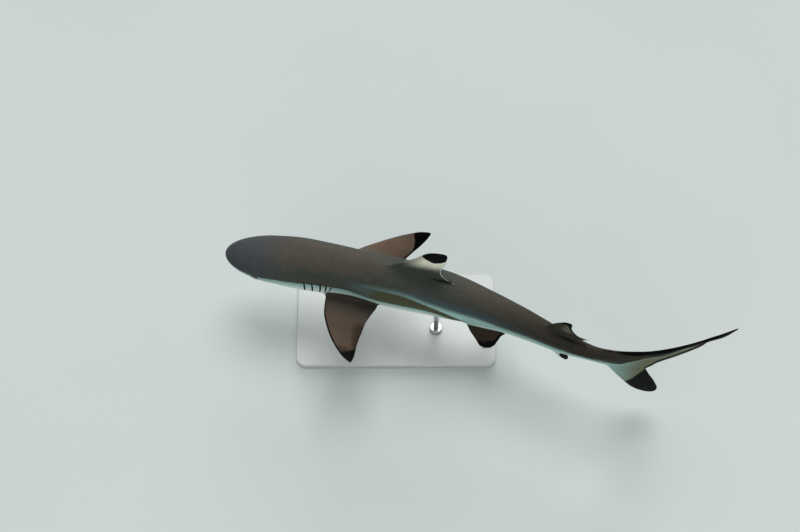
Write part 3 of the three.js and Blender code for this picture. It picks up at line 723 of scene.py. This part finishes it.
def soften_seam(mesh, reach, rounds):
    """Eases the crease where base faces meet tool faces: vertices within reach of it, along the mesh, move
    half-way to the mean of their neighbours, by how near they are, round after round."""
    points = mesh_points(mesh)
    a, b = read(mesh.edges, "vertices", 2).T
    corners = read(mesh.loops, "vertex_index")[:, 0]
    kinds, counts = (read(mesh.polygons, key)[:, 0] for key in ("material_index", "loop_total"))
    touches = np.zeros((len(points), 2), bool)
    touches[corners, np.minimum(np.repeat(kinds, counts), 1)] = True
    near = touches.all(1).astype(float)
    fall = np.linalg.norm(points[a] - points[b], axis=1) / reach
    for _ in range(SEAM_SPREAD):
        np.maximum.at(near, a, near[b] - fall)
        np.maximum.at(near, b, near[a] - fall)
    weight = 0.5 * step(0, 1, near)[:, None]

    def gathered(to_a=None, to_b=None):
        """What each vertex gets along its edges, or without values how many edges it has."""
        return np.bincount(a, to_a, len(points)) + np.bincount(b, to_b, len(points))

    edge_count = gathered()
    for _ in range(rounds):
        total = np.stack([gathered(points[b, i], points[a, i]) for i in range(3)], 1)
        points += weight * (total / edge_count[:, None] - points)
    mesh.vertices.foreach_set("co", (points * MM).ravel())
    mesh.polygons.foreach_set("material_index", np.zeros(len(mesh.polygons), np.int32))


# ---------------- markings


def fin_shares(fin, points, straight):
    """Where points lie in a fin: the share of its height and of its chord, the chord and the distance through
    it. The height's formula is solved by turns with the chord's."""
    if "tilt" in fin:
        root, out, back, thick = fin_frame(fin)
        offset = points - root
        b, o = offset @ back, offset @ out
        cos, sin = swept(fin)
        x, z = b * cos - o * sin, b * sin + o * cos
        y = offset @ thick * np.sign(thick[2]) - curl_of(fin, z)
    else:
        along, y, up = straight
        x = along - fin["at"] * UNIT
        z = fin["side"] * (up - fin_height(fin, x))
    lead, chord = smooth_curve(fin["lead"]), smooth_curve(fin["chord"])
    v, c = (z + fin["sink"]) / (fin["height"] * UNIT + fin["sink"]), 0 * x + 0.5
    for _ in range(6):
        lift = fin["lift"] * np.clip(c, 0, 1) ** 2 * (1 - np.clip(v, 0, 1)) ** 3
        v = (z + fin["sink"] - lift) / (fin["height"] * UNIT + fin["sink"])
        full = chord(v) * UNIT
        length = np.maximum(full * quarter_round((1 - v) / fin["tip_round"]), 1)
        c = (x - lead(v) * UNIT - (full - length) * fin["tip_lean"]) / length
    return v, c, length, y


FAR = 99.0  # mm, a distance from a border that leaves its colour out
# Height over the belly's border, in mm, that gives a fin the back's tone, and the fins that are paler.
ABOVE, LOWER_TONES = 9, {"lower_lobe": -30, "anal": -12}


def slit_depth(along, up):
    """How far inside a gill slit a point of the side lies, in mm."""
    depth = -FAR
    for slit in GILL_SLITS:
        line, share = slit_line(slit, up)
        ends = np.minimum(share, 1 - share) * (slit[1] - slit[2]) * UNIT
        inside = np.minimum(GILL_HALF * slit_taper(share) - np.abs(along - line), ends + 0.6)
        depth = np.maximum(depth, inside)
    return depth


def wedge_strength(station, z):
    """How strongly the pale wedge shows: it is even below and fades out towards its soft top."""
    bottom, top = smooth_curve(BAND_TOP)(station), smooth_curve(WEDGE_TOP)(station)
    low = np.maximum(bottom, top - WEDGE_SOFT)
    fade_out = step(0, 1, (z - low) / np.maximum(top - low, 0.3))
    return (1 - fade_out) * smooth_curve(WEDGE_STRENGTH)(station)


def tail_black(station, up):
    """How far inside the black of the tail's upper lobe a point lies, in mm: a hem along its upper edge,
    about 10 mm wide and 3 mm at the end, another of 20 mm along its lower edge, and all behind the notch."""
    top, bottom = back_height(station) * UNIT, belly_height(station) * UNIT
    above = 9 * step(76, 81, station) * step(93, 83, station) + 3 * step(80, 88, station)
    hem = np.maximum(above - (top - up), 20 * step(81.3, 82.6, station) - (up - bottom))
    return np.where(station > 74, np.maximum(hem, (station - 92.2) * UNIT - 4), -FAR)


def rear_tip_shadow(fin, along, up, y):
    """Painted shadow: a dark band on the back under the free rear tip of a dorsal fin, where the fin shades
    it.
    """
    x = along - fin["at"] * UNIT
    behind = step(0.3, 0.75, x / (fin["base"] * UNIT))
    ahead = step(1.02, 0.96, x / (fin["chord"][0][1] * UNIT))
    near = bell((up - fin_height(fin, x) - 1) / 3.5) * bell(np.maximum(np.abs(y) - 3, 0) / 5)
    return behind * ahead * near


def markings(mesh):
    """Writes the attributes that the skin's colours read. Those in mm are distances from a border, positive
    on the side that the name tells: above the belly's white, above the dark band, in the black, in a hollow.
    Only the margin grows inwards, from a fin's edge."""
    points = mesh_points(mesh)
    along, across, up = straight = straighten(points)
    station, z = along / UNIT, up / UNIT
    angle, clear = around(along, across, up)
    by_gills = (station > 14.5) & (station < 23)
    # How deep a point lies in a gill slit or other hollow; the skin is darkened there as lining and painted
    # shade
    hollow = np.where(by_gills, 3 * slit_depth(along, up) + 1.4, relief(along, across, up) - clear)
    above_belly = (z - smooth_curve(BELLY_LINE)(station)) * UNIT
    above_band = (z - smooth_curve(BAND_TOP)(station)) * UNIT
    wedge, black = wedge_strength(station, z), tail_black(station, up)
    brown = step(23.5, 33, station) * step(51, 47, station)
    # Round station 38 less crest colour is laid, so the cooler flank shows: painted shade at the first dorsal
    # fin's foot
    crest = step(0.3, 0.95, np.cos(angle)) * (1 - 0.6 * bell((station - 38) / 8))
    fin_share, span, cream, crease, dusk, chordwise, spanwise = np.zeros((7, len(points)))
    margin, white = np.full(len(points), FAR), np.full(len(points), -FAR)

    for name, fin in FINS.items():
        paired, height = "tilt" in fin, fin["height"] * UNIT
        v, c, length, y = fin_shares(fin, points, straight)
        here = (clear > 0.2) & (v > -0.1) & (v < 1.1) & (c > -0.25) & (c < 1.1)
        here &= np.abs(y) < fin["thick"] / 2 + fin["flare"]
        if paired:
            here &= across * fin["side"] > 0
        weight = np.where(here, step(0.5, 7, clear), 0)
        beyond, c, v = c, np.clip(c, 0, 1), np.clip(v, 0, 1)

        # The black tip, whose border is softer on the small fins, and the places across and along the rays.
        border = (v - smooth_curve(fin["black_from"])(c)) * height * (0.85 if fin["height"] > 5 else 0.4)
        black, span = np.where(here, border, black), np.where(here, v, span)
        chordwise, spanwise = np.where(here, c * 60, chordwise), np.where(here, v * height, spanwise)

        if paired:
            # The tone turns from the back's to the belly's through the fin. The dark margin runs round its
            # free edges, wider behind and above all near the tip, and ends by the body.
            tone = np.clip(y * 9 + 4, -40, ABOVE)
            trailing = (1 - c) / (1 + 2.5 * v)
            edge = np.minimum(np.minimum(c * 1.2, trailing) * length, (1 - v) * height)
            edge = edge + 15 * (step(0.16, 0.05, v) + step(-0.03, -0.1, beyond) + step(6, 1, clear))
            wedge *= 1 - weight
            fin_share = np.maximum(fin_share, weight)
            margin = np.where(here, edge, margin)
        else:
            tone = LOWER_TONES.get(name, ABOVE)
        above_belly += (tone - above_belly) * weight
        if name.endswith("dorsal"):
            crease = np.maximum(crease, rear_tip_shadow(fin, along, up, y))
        if name == "first_dorsal":
            # The cream under the black, and the pale hairline on the rear edge.
            cream = np.where(here, step(0.17, 0.66, v) * (0.5 + 0.5 * step(0.0, 0.4, c)), 0)
            white = np.where(here & (c > 0.5) & (v < 0.72), 2.4 - (1 - c) * length, white)
        if name == "second_dorsal":
            cream = np.where(here, 0.24 * step(0.2, 0.5, v) * step(0.1, 0.6, c), cream)
        if name == "anal" or name.endswith("pelvic"):
            low, high = (0.2, 0.6) if name == "anal" else (-0.1, 0.25)
            dusk = np.where(here, weight * step(low, high, v), dusk)
        if name.endswith("pectoral"):
            # Painted shade: darker behind and towards the tip, and all over the left fin, which lies away
            # from the light. A collar carries a fin's colours and painted shade a little way up the flank, as
            # the fin's painted shadow.
            behind = np.maximum(step(0.35, 0.95, c) * step(0.2, 0.5, v), step(0.68, 0.87, v))
            shaded = 0.5 + 0.18 * step(0.5, 0.15, v)
            shaded = np.maximum(0.95 * behind, shaded) if fin["side"] < 0 else 0.3 * behind
            reach = 14.5 + 10 * np.sin(np.pi * c)
            root = (y > 0) & (y < 40) & (v < 0.35) & (across * fin["side"] > 0)
            ends = step(-0.06, 0.02, beyond) * step(1.05, 0.98, beyond)
            collar = np.where(root, step(reach + 4, reach - 4, y) * ends, 0)
            fin_share = np.maximum(fin_share, collar)
            dusk = np.where(here | root, shaded * np.maximum(weight, collar), dusk)
            above_belly += (ABOVE - above_belly) * collar

    values = {
        "station": station, "crest": crest, "above_belly": above_belly, "above_band": above_band,
        "wedge": wedge, "brown": brown, "crease": crease, "dusk": dusk, "fin": fin_share, "span": span,
        "cream": cream, "black": black, "margin": margin, "white": white, "hollow": hollow,
        "chordwise": chordwise, "spanwise": spanwise,
    }
    for name, value in values.items():
        mesh.attributes.new(name, "FLOAT", "POINT").data.foreach_set("value", value.astype(np.float32))


# ---------------- materials


def add_node(tree, kind, sockets=None, **settings):
    """Adds a node. Settings are its own properties; sockets are its inputs by name or number, each a value or
    another node's output, which is linked."""
    node = tree.nodes.new(kind)
    for key, value in settings.items():
        setattr(node, key, value)
    for key, value in (sockets or {}).items():
        if isinstance(value, bpy.types.NodeSocket):
            tree.links.new(value, node.inputs[key])
        else:
            node.inputs[key].default_value = value
    return node


def new_material(name):
    """An empty node material, its node tree, and the place on the object in metres."""
    material = bpy.data.materials.new(name)
    material.use_nodes = True
    material.node_tree.nodes.clear()
    place = add_node(material.node_tree, "ShaderNodeTexCoord").outputs["Object"]
    return material, material.node_tree, place


def finished(material, **looks):
    """The material with its surface shader, whose inputs are given with _ for each space in their names."""
    tree = material.node_tree
    sockets = {name.replace("_", " "): value for name, value in looks.items()}
    shader = add_node(tree, "ShaderNodeBsdfPrincipled", sockets)
    add_node(tree, "ShaderNodeOutputMaterial", {"Surface": shader.outputs[0]})
    return material


def rgba(value):
    """A colour with full opacity, as a colour socket takes it. A node's output stays as it is."""
    return value if isinstance(value, bpy.types.NodeSocket) else (*value, 1.0)


def attribute_of(tree, name, output="Fac"):
    """An attribute of the mesh."""
    return add_node(tree, "ShaderNodeAttribute", attribute_name=name).outputs[output]


def calculate(tree, operation, *values):
    """The result of a sum on plain numbers."""
    return add_node(tree, "ShaderNodeMath", dict(enumerate(values)), operation=operation).outputs[0]


def product(tree, first, second):
    """Two values multiplied."""
    return calculate(tree, "MULTIPLY", first, second)


def ranged(tree, value, low, high, start=0.0, end=1.0, curve="LINEAR"):
    """A value carried from the range low to high onto start to end, and held beyond them."""
    return add_node(
        tree, "ShaderNodeMapRange",
        {"Value": value, "From Min": low, "From Max": high, "To Min": start, "To Max": end},
        interpolation_type=curve,
    ).outputs[0]


def mask(tree, attribute, low, high, wander=None, amount=0.0):
    """A 0 to 1 mask: an attribute, shifted by a noise, through an even S curve from low to high."""
    value = attribute_of(tree, attribute)
    if wander is not None:
        value = calculate(tree, "MULTIPLY_ADD", calculate(tree, "SUBTRACT", wander, 0.5), amount, value)
    return ranged(tree, value, low, high, curve="SMOOTHSTEP")


def layer(tree, below, above, amount):
    """A colour laid over another by a mask."""
    sockets = {0: amount, 6: rgba(below), 7: rgba(above)}
    return add_node(tree, "ShaderNodeMix", sockets, data_type="RGBA").outputs[2]


def toned(tree, shade, tone):
    """A colour made lighter or darker by a factor."""
    return add_node(tree, "ShaderNodeVectorMath", {0: shade, "Scale": tone}, operation="SCALE").outputs[0]


def stretched(tree, vector, factors):
    """A vector with each of its parts multiplied."""
    return add_node(tree, "ShaderNodeVectorMath", {0: vector, 1: factors}, operation="MULTIPLY").outputs[0]


def noise(tree, vector, size_mm, detail=3.0, roughness=0.5):
    """Noise whose features are about size_mm wide, from a vector in metres."""
    return add_node(
        tree, "ShaderNodeTexNoise",
        {"Vector": vector, "Scale": 1 / (size_mm * MM), "Detail": detail, "Roughness": roughness},
    ).outputs["Fac"]


def bumped(tree, height, deep_mm, strength, **over):
    """The surface's direction tilted by a height, over another direction if a Normal is given."""
    sockets = {"Height": height, "Distance": deep_mm * MM, "Strength": strength, **over}
    return add_node(tree, "ShaderNodeBump", sockets).outputs[0]


GLOSS = 0.06  # how strongly the skin mirrors: a usual coat's 0.5 turns the black tips grey
CLOUDING = 0.14  # how much lighter and darker the skin's paint is in patches


def skin_material(look):
    """Shark skin as cast and painted for a museum: nearly matt, with fine scales that break up what sheen it
    has. Grey brown above, cooler on the flanks, white below, with black fin tips and soft clouding, and with
    painted shade and a painted bluish sheen in places."""
    material, tree, place = new_material("painted cast shark skin")
    cloud = noise(tree, place, look.mottle, 4)
    fleck = noise(tree, place, 4.5, 3, 0.6)
    ragged = noise(tree, place, 9, 3)

    def by(*border):
        return mask(tree, *border)

    # Below its border the belly turns from the grey green border to white: partly the skin's own grey, partly
    # painted shade
    white = product(tree, by("above_belly", -3, -20, cloud, 6), by("station", 76, 70))
    under = layer(tree, look.border, look.belly, white)
    fin = layer(tree, look.fin_root, look.fin_outer, by("span", 0.1, 0.6, cloud, 0.4))
    coats = (
        # The flank's own cooler grey, with a painted bluish sheen
        (look.flank, by("station", 20, 32, cloud, 4)),
        (look.back, by("crest", 0, 0.4, cloud, 0.5)),
        (look.crest, by("crest", 0.5, 1.1, cloud, 0.5)),
        (look.head, by("station", 14, 5, cloud, 4)),
        (look.stalk, by("station", 44, 68, cloud, 6)),
        (look.wedge, by("wedge", -0.1, 0.95, fleck, 0.1)),
        (look.band, product(tree, by("brown", 0, 1), by("above_band", 2, -2, ragged, 4))),
        (under, by("above_belly", 1.6, -1.6, ragged, 4)),
        (look.lobe, product(tree, by("station", 75, 82), by("above_belly", 8, -8, cloud, 6))),
        (fin, product(tree, by("fin", 0, 1), by("above_belly", -1.6, 1.6))),
        # Dark brown of the pelvic and anal fins, and painted shade on the pectoral fins and on the flank by
        # their roots
        (look.dusk, product(tree, by("dusk", 0, 1), 0.85)),
        (look.cream, by("cream", 0.05, 1, cloud, 0.2)),
        (look.black, by("margin", 2.6, 0.6, ragged, 1.5)),
        (look.edge, by("white", 0.2, 1.4, ragged, 1)),
        (look.black, by("black", -1.2, 1.2, ragged, 3)),
        # Painted shadow on the back under the dorsal fins' free rear tips
        (look.lining_and_shade, product(tree, by("crease", 0.1, 0.9), 0.8)),
    )
    shade = look.shoulder
    for above, amount in coats:
        shade = layer(tree, shade, above, amount)

    # Clouding: the paint is lighter and darker in soft patches and small flecks.
    tone = ranged(tree, calculate(tree, "ADD", cloud, fleck), 0.6, 1.4, 1 - CLOUDING, 1 + CLOUDING)
    # Dark lining in the gill slits, nostrils and mouth, deepening with the hollow as painted shade
    shade = layer(tree, toned(tree, shade, tone), look.lining_and_shade, by("hollow", 0.7, 2.2))

    # Scales a third of a millimetre wide would not show, so they are drawn about three times as coarse. The
    # fins also have rays: fine ridges about 1.5 mm apart that run from the root to the tip.
    scales = add_node(tree, "ShaderNodeTexVoronoi", {"Vector": place, "Scale": 1 / (look.denticle * MM)})
    across, along = (attribute_of(tree, name) for name in ("chordwise", "spanwise"))
    in_fin = {0: product(tree, across, MM), 1: product(tree, along, MM / 30)}
    rays = noise(tree, add_node(tree, "ShaderNodeCombineXYZ", in_fin).outputs[0], 1.6, 2)
    normal = bumped(tree, scales.outputs["Distance"], 0.12, 0.5)
    normal = bumped(tree, product(tree, rays, by("fin", 0.2, 1)), 0.6, 0.6, Normal=normal)
    rough = ranged(tree, cloud, 0.2, 0.8, look.roughness - 0.06, look.roughness + 0.08)
    return finished(
        material, Base_Color=shade, Roughness=rough, IOR=1.45, Specular_IOR_Level=GLOSS, Normal=normal
    )


def eye_material(look):
    """A glass museum eye: a bronze iris with an upright black pupil under a hard clear dome that throws a
    small sharp highlight."""
    material, tree, _ = new_material("glass eye")
    gaze = attribute_of(tree, "gaze", "Vector")
    x, y, outward = add_node(tree, "ShaderNodeSeparateXYZ", {0: gaze}).outputs
    upright = stretched(tree, gaze, (1 / PUPIL[0], 1 / PUPIL[1], 0))
    pupil = add_node(tree, "ShaderNodeVectorMath", {0: upright}, operation="LENGTH").outputs["Value"]
    turned = add_node(tree, "ShaderNodeCombineXYZ", {0: calculate(tree, "ARCTAN2", y, x), 1: outward})
    strands = add_node(
        tree, "ShaderNodeTexNoise", {"Vector": turned.outputs[0], "Scale": 7.0, "Detail": 4.0}
    ).outputs["Fac"]
    shade = layer(tree, look.iris, look.rim, ranged(tree, strands, 0.3, 0.75))
    shade = layer(tree, shade, look.rim, ranged(tree, outward, 0.9, 0.8, curve="SMOOTHSTEP"))
    shade = layer(tree, shade, look.pupil, ranged(tree, pupil, 1.08, 0.94, curve="SMOOTHSTEP"))
    return finished(
        material, Base_Color=shade, Roughness=0.12, IOR=1.5, Coat_Weight=1.0, Coat_Roughness=0.02
    )


def paint_material(look):
    """Powder-coated steel plate: an even satin coat with a faint orange-peel texture about 1.5 mm wide."""
    material, tree, place = new_material("powder coated steel")
    tone = ranged(tree, noise(tree, place, 60, 3), 0.3, 0.7, 0.97, 1.02)
    normal = bumped(tree, noise(tree, place, 1.5, 1), 0.05, 0.5)
    return finished(material, Base_Color=toned(tree, look.paint, tone), Roughness=0.42, Normal=normal)


def steel_material(look):
    """Brushed stainless steel bar, turned: fine rings round the bar stretch its highlights up and down."""
    material, tree, place = new_material("brushed stainless steel")
    brushing = noise(tree, stretched(tree, place, (0.05, 0.05, 1)), look.polish_line, 3, 0.7)
    rough = ranged(tree, brushing, 0.3, 0.7, 0.22, 0.38)
    normal = bumped(tree, brushing, 0.02, 0.5)
    return finished(material, Base_Color=rgba(look.steel), Metallic=1.0, Roughness=rough, Normal=normal)


def floor_material(look):
    """Smooth pale studio floor, matt, with a hardly visible unevenness so that it isn't a flat tint."""
    material, tree, place = new_material("matt studio floor")
    tone = ranged(tree, noise(tree, place, 700, 2), 0.3, 0.7, 0.985, 1.015)
    return finished(material, Base_Color=toned(tree, look.floor, tone), Roughness=0.9)


# ---------------- pieces


def add_piece(name, mesh, material, replaces=()):
    """An object for a mesh, riding on the model's one body and standing for the nodes that it replaces."""
    mesh.materials.clear()
    mesh.materials.append(material)
    piece = bpy.data.objects.new(name, mesh)
    bpy.context.scene.collection.objects.link(piece)
    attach(piece, "root")
    if replaces:
        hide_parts(*replaces)
    return piece


FLESH = (
    "head", "lower_jaw", "gills", "trunk_front", "trunk_rear", "tail_stalk", "tail_upper_lobe",
    "tail_lower_lobe", "first_dorsal_fin", "second_dorsal_fin", "anal_fin", "left_pectoral_fin",
    "right_pectoral_fin", "left_pelvic_fin", "right_pelvic_fin",
)


class REEFSHARK_OT_skin(bpy.types.Operator):
    """Build the seamless skin over the head, body, tail and fins"""

    bl_idname = "reefshark.skin"
    bl_label = "Build Skin"

    def execute(self, context):
        fins = [fin_mesh(name, fin) for name, fin in FINS.items()]
        skin = combine(body_mesh(), fins, "UNION")
        soften_seam(skin, *FIN_SEAM)
        cuts = [slit_rings(slit, side) for slit in GILL_SLITS for side in (-1, 1)]
        for side in (-1, 1):
            cuts += [nostril_rings(side), eye_rings(side, SOCKET_GAP)]
        cuts.append(mouth_rings())
        skin = combine(skin, [closed_surface("cut", rings) for rings in cuts], "DIFFERENCE")
        soften_seam(skin, *CUT_SEAM)
        skin.polygons.foreach_set("use_smooth", np.ones(len(skin.polygons), bool))
        markings(skin)
        look = context.scene.reef_shark_skin
        add_piece("shark_skin", skin, skin_material(look), FLESH)
        return {"FINISHED"}


class REEFSHARK_OT_eyes(bpy.types.Operator):
    """Build the two glass eyes, set as deep in the head as real ones"""

    bl_idname = "reefshark.eyes"
    bl_label = "Build Eyes"

    def execute(self, context):
        material = eye_material(context.scene.reef_shark_eye)
        for side, name in ((-1, "left_eye"), (1, "right_eye")):
            mesh = closed_surface(name, eye_rings(side))
            centre, tailward, up, outward = eye_frame(side)
            offset = mesh_points(mesh) - centre
            axes = ((tailward, "long"), (up, "high"), (outward, "deep"))
            gaze = np.stack([offset @ axis / EYE[key] for axis, key in axes], 1)
            attribute = mesh.attributes.new("gaze", "FLOAT_VECTOR", "POINT")
            attribute.data.foreach_set("vector", gaze.astype(np.float32).ravel())
            add_piece("glass_" + name, mesh, material, [name])
        return {"FINISHED"}


def box_mm(node):
    """The low and high corners of a node's box, in mm."""
    return [np.array(corner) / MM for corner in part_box(node)]


def turned_mesh(name, middle, profile):
    """A bar turned about an upright line through a point, from a profile of (radius, height) in mm."""
    radius, height = np.array(profile, float).T[:, :, None]
    turn = circle(64)[None]
    x, y = middle[0] + radius * np.cos(turn), middle[1] + radius * np.sin(turn)
    return closed_surface(name, np.stack((x, y, height + 0 * turn), -1))


def rounded_edge(edge, top, radius):
    """A quarter circle from (edge, top - radius) in to (edge - radius, top)."""
    turn = np.linspace(0, math.pi / 2, 8)
    return list(zip(edge - radius + radius * np.cos(turn), top - radius + radius * np.sin(turn)))


PLATE_CORNER = 24  # radius of the base's corners


class REEFSHARK_OT_stand(bpy.types.Operator):
    """Build the base plate, collars and rods of the stand"""

    bl_idname = "reefshark.stand"
    bl_label = "Build Stand"

    def execute(self, context):
        look = context.scene.reef_shark_stand
        steel, paint = steel_material(look), paint_material(look)
        low, high = box_mm("stand_base")
        profile = [(-0.6, low[2]), (0, low[2] + 0.6), *rounded_edge(0, high[2], look.bevel)]
        grow, height = np.array(profile).T[:, :, None]
        turn = circle(96)[None]
        x, y = (
            np.sign(wave) * (half - PLATE_CORNER) + (PLATE_CORNER + grow) * wave
            for half, wave in zip(high, (np.cos(turn), np.sin(turn)))
        )
        plate = closed_surface("stand_plate", np.stack((x, y, height + 0 * x), -1))
        add_piece("stand_plate", plate, paint, ["stand_base"])
        for end in ("front", "rear"):
            for part, piece in (("collar", "ring"), ("rod", "bar")):
                node = f"stand_{part}_{end}"
                low, high = box_mm(node)
                radius = (high[0] - low[0]) / 2
                profile = [(radius, low[2] - 1), (radius, high[2])]
                if part == "collar":
                    foot = [(radius - 0.5, low[2]), (radius, low[2] + 0.5)]
                    profile = [*foot, *rounded_edge(radius, high[2], 2)]
                mesh = turned_mesh(piece, (low + high) / 2, profile)
                add_piece(f"stand_{piece}_{end}", mesh, steel, [node])
        return {"FINISHED"}


def aim(location, target):
    """A matrix that stands at a location and looks at a target."""
    location = Vector(location)
    turn = (Vector(target) - location).to_track_quat("-Z", "Y")
    return Matrix.Translation(location) @ turn.to_matrix().to_4x4()


def add_lamp(name, strength, spread, location):
    """A distant soft lamp that shines from a location towards the middle of the floor, over a spread in
    degrees."""
    lamp = bpy.data.lights.new(name, "SUN")
    lamp.energy, lamp.angle = strength, math.radians(spread)
    holder = bpy.data.objects.new(name, lamp)
    holder.matrix_world = aim(location, (0, 0, 0))
    bpy.context.scene.collection.objects.link(holder)


# The studio: half the floor's width, its lines a side and its gap under the stand, in mm; and for each lamp
# its spread in degrees and the direction that it shines from.
FLOOR_HALF, FLOOR_LINES, FLOOR_GAP = 9000, 19, 0.2
LAMPS = {"key": (40, (0.2, 1.4, 2.8)), "fill": (60, (-0.6, -2.6, 1.9)), "rim": (30, (0.3, 3.0, 1.1))}
SKY_COLOUR = (0.96, 0.98, 1, 1)
SNOUT_LEFT, SNOUT_ABOVE = 0.217875, 0.01975  # where the snout stands from the middle, in picture widths


class REEFSHARK_OT_stage(bpy.types.Operator):
    """Build the floor, the lights and the camera"""

    bl_idname = "reefshark.stage"
    bl_label = "Build Stage"

    def execute(self, context):
        look, scene = context.scene.reef_shark_stage, context.scene
        side = np.linspace(-FLOOR_HALF, FLOOR_HALF, FLOOR_LINES)
        x, y = np.meshgrid(side, side, indexing="ij")
        points = np.stack((x, y, 0 * x - FLOOR_GAP), -1).reshape(-1, 3) * MM
        index = np.arange(x.size).reshape(x.shape)
        faces = np.stack((index[:-1, :-1], index[1:, :-1], index[1:, 1:], index[:-1, 1:]), -1)
        mesh = bpy.data.meshes.new("floor")
        mesh.from_pydata(points.tolist(), [], faces.reshape(-1, 4).tolist())
        mesh.materials.append(floor_material(look))
        floor = bpy.data.objects.new("floor", mesh)
        scene.collection.objects.link(floor)

        for name, (spread, location) in LAMPS.items():
            add_lamp(name, getattr(look, name), spread, location)
        world = bpy.data.worlds.new("studio")
        world.use_nodes = True
        tree = world.node_tree
        tree.nodes.clear()
        even = add_node(tree, "ShaderNodeBackground", {"Color": SKY_COLOUR, "Strength": look.sky})
        backdrop = add_node(tree, "ShaderNodeBackground", {"Color": rgba(look.floor), "Strength": 1.0})
        seen = add_node(tree, "ShaderNodeLightPath").outputs["Is Camera Ray"]
        both = add_node(tree, "ShaderNodeMixShader", {0: seen, 1: even.outputs[0], 2: backdrop.outputs[0]})
        add_node(tree, "ShaderNodeOutputWorld", {"Surface": both.outputs[0]})
        scene.world = world

        # The camera stands back from the snout along its view, then aside and down, which places the snout in
        # the picture.
        camera = bpy.data.cameras.new("camera")
        camera.lens, camera.sensor_width, camera.clip_end = look.lens, 36, 100
        snout = Vector(bend(np.array(0.0), 0, 0)) * MM
        view = Vector((0, math.cos(look.elevation), -math.sin(look.elevation)))
        right = Vector((1, 0, 0))
        width = look.distance * camera.sensor_width / camera.lens
        aside = right * (SNOUT_LEFT * width) - right.cross(view) * (SNOUT_ABOVE * width)
        holder = bpy.data.objects.new("camera", camera)
        holder.location = snout - view * look.distance + aside
        holder.rotation_euler = (math.pi / 2 - look.elevation, 0, 0)
        scene.collection.objects.link(holder)
        scene.camera = holder
        scene.view_settings.view_transform = "Standard"
        return {"FINISHED"}


class REEFSHARK_PT_panel(bpy.types.Panel):
    """Lists the pieces and their settings"""

    bl_idname = "REEFSHARK_PT_panel"
    bl_label = "Reef Shark"
    bl_space_type = "VIEW_3D"
    bl_region_type = "UI"
    bl_category = "Reef Shark"

    def draw(self, context):
        for operator, settings, group in STEPS:
            box = self.layout.box()
            box.operator(operator.bl_idname)
            for name in group.__annotations__:
                box.prop(getattr(context.scene, settings), name)


STEPS = (
    (REEFSHARK_OT_skin, "reef_shark_skin", ReefSharkSkin),
    (REEFSHARK_OT_eyes, "reef_shark_eye", ReefSharkEye),
    (REEFSHARK_OT_stand, "reef_shark_stand", ReefSharkStand),
    (REEFSHARK_OT_stage, "reef_shark_stage", ReefSharkStage),
)
CLASSES = (*(step[2] for step in STEPS), *(step[0] for step in STEPS), REEFSHARK_PT_panel)


def register():
    for kind in CLASSES:
        bpy.utils.register_class(kind)
    for _, settings, group in STEPS:
        setattr(bpy.types.Scene, settings, PointerProperty(type=group))


def unregister():
    for _, settings, _ in STEPS:
        delattr(bpy.types.Scene, settings)
    for kind in reversed(CLASSES):
        bpy.utils.unregister_class(kind)


def main():
    register()
    bpy.ops.reefshark.skin()
    bpy.ops.reefshark.eyes()
    bpy.ops.reefshark.stand()
    bpy.ops.reefshark.stage()


if __name__ == "__main__":
    main()
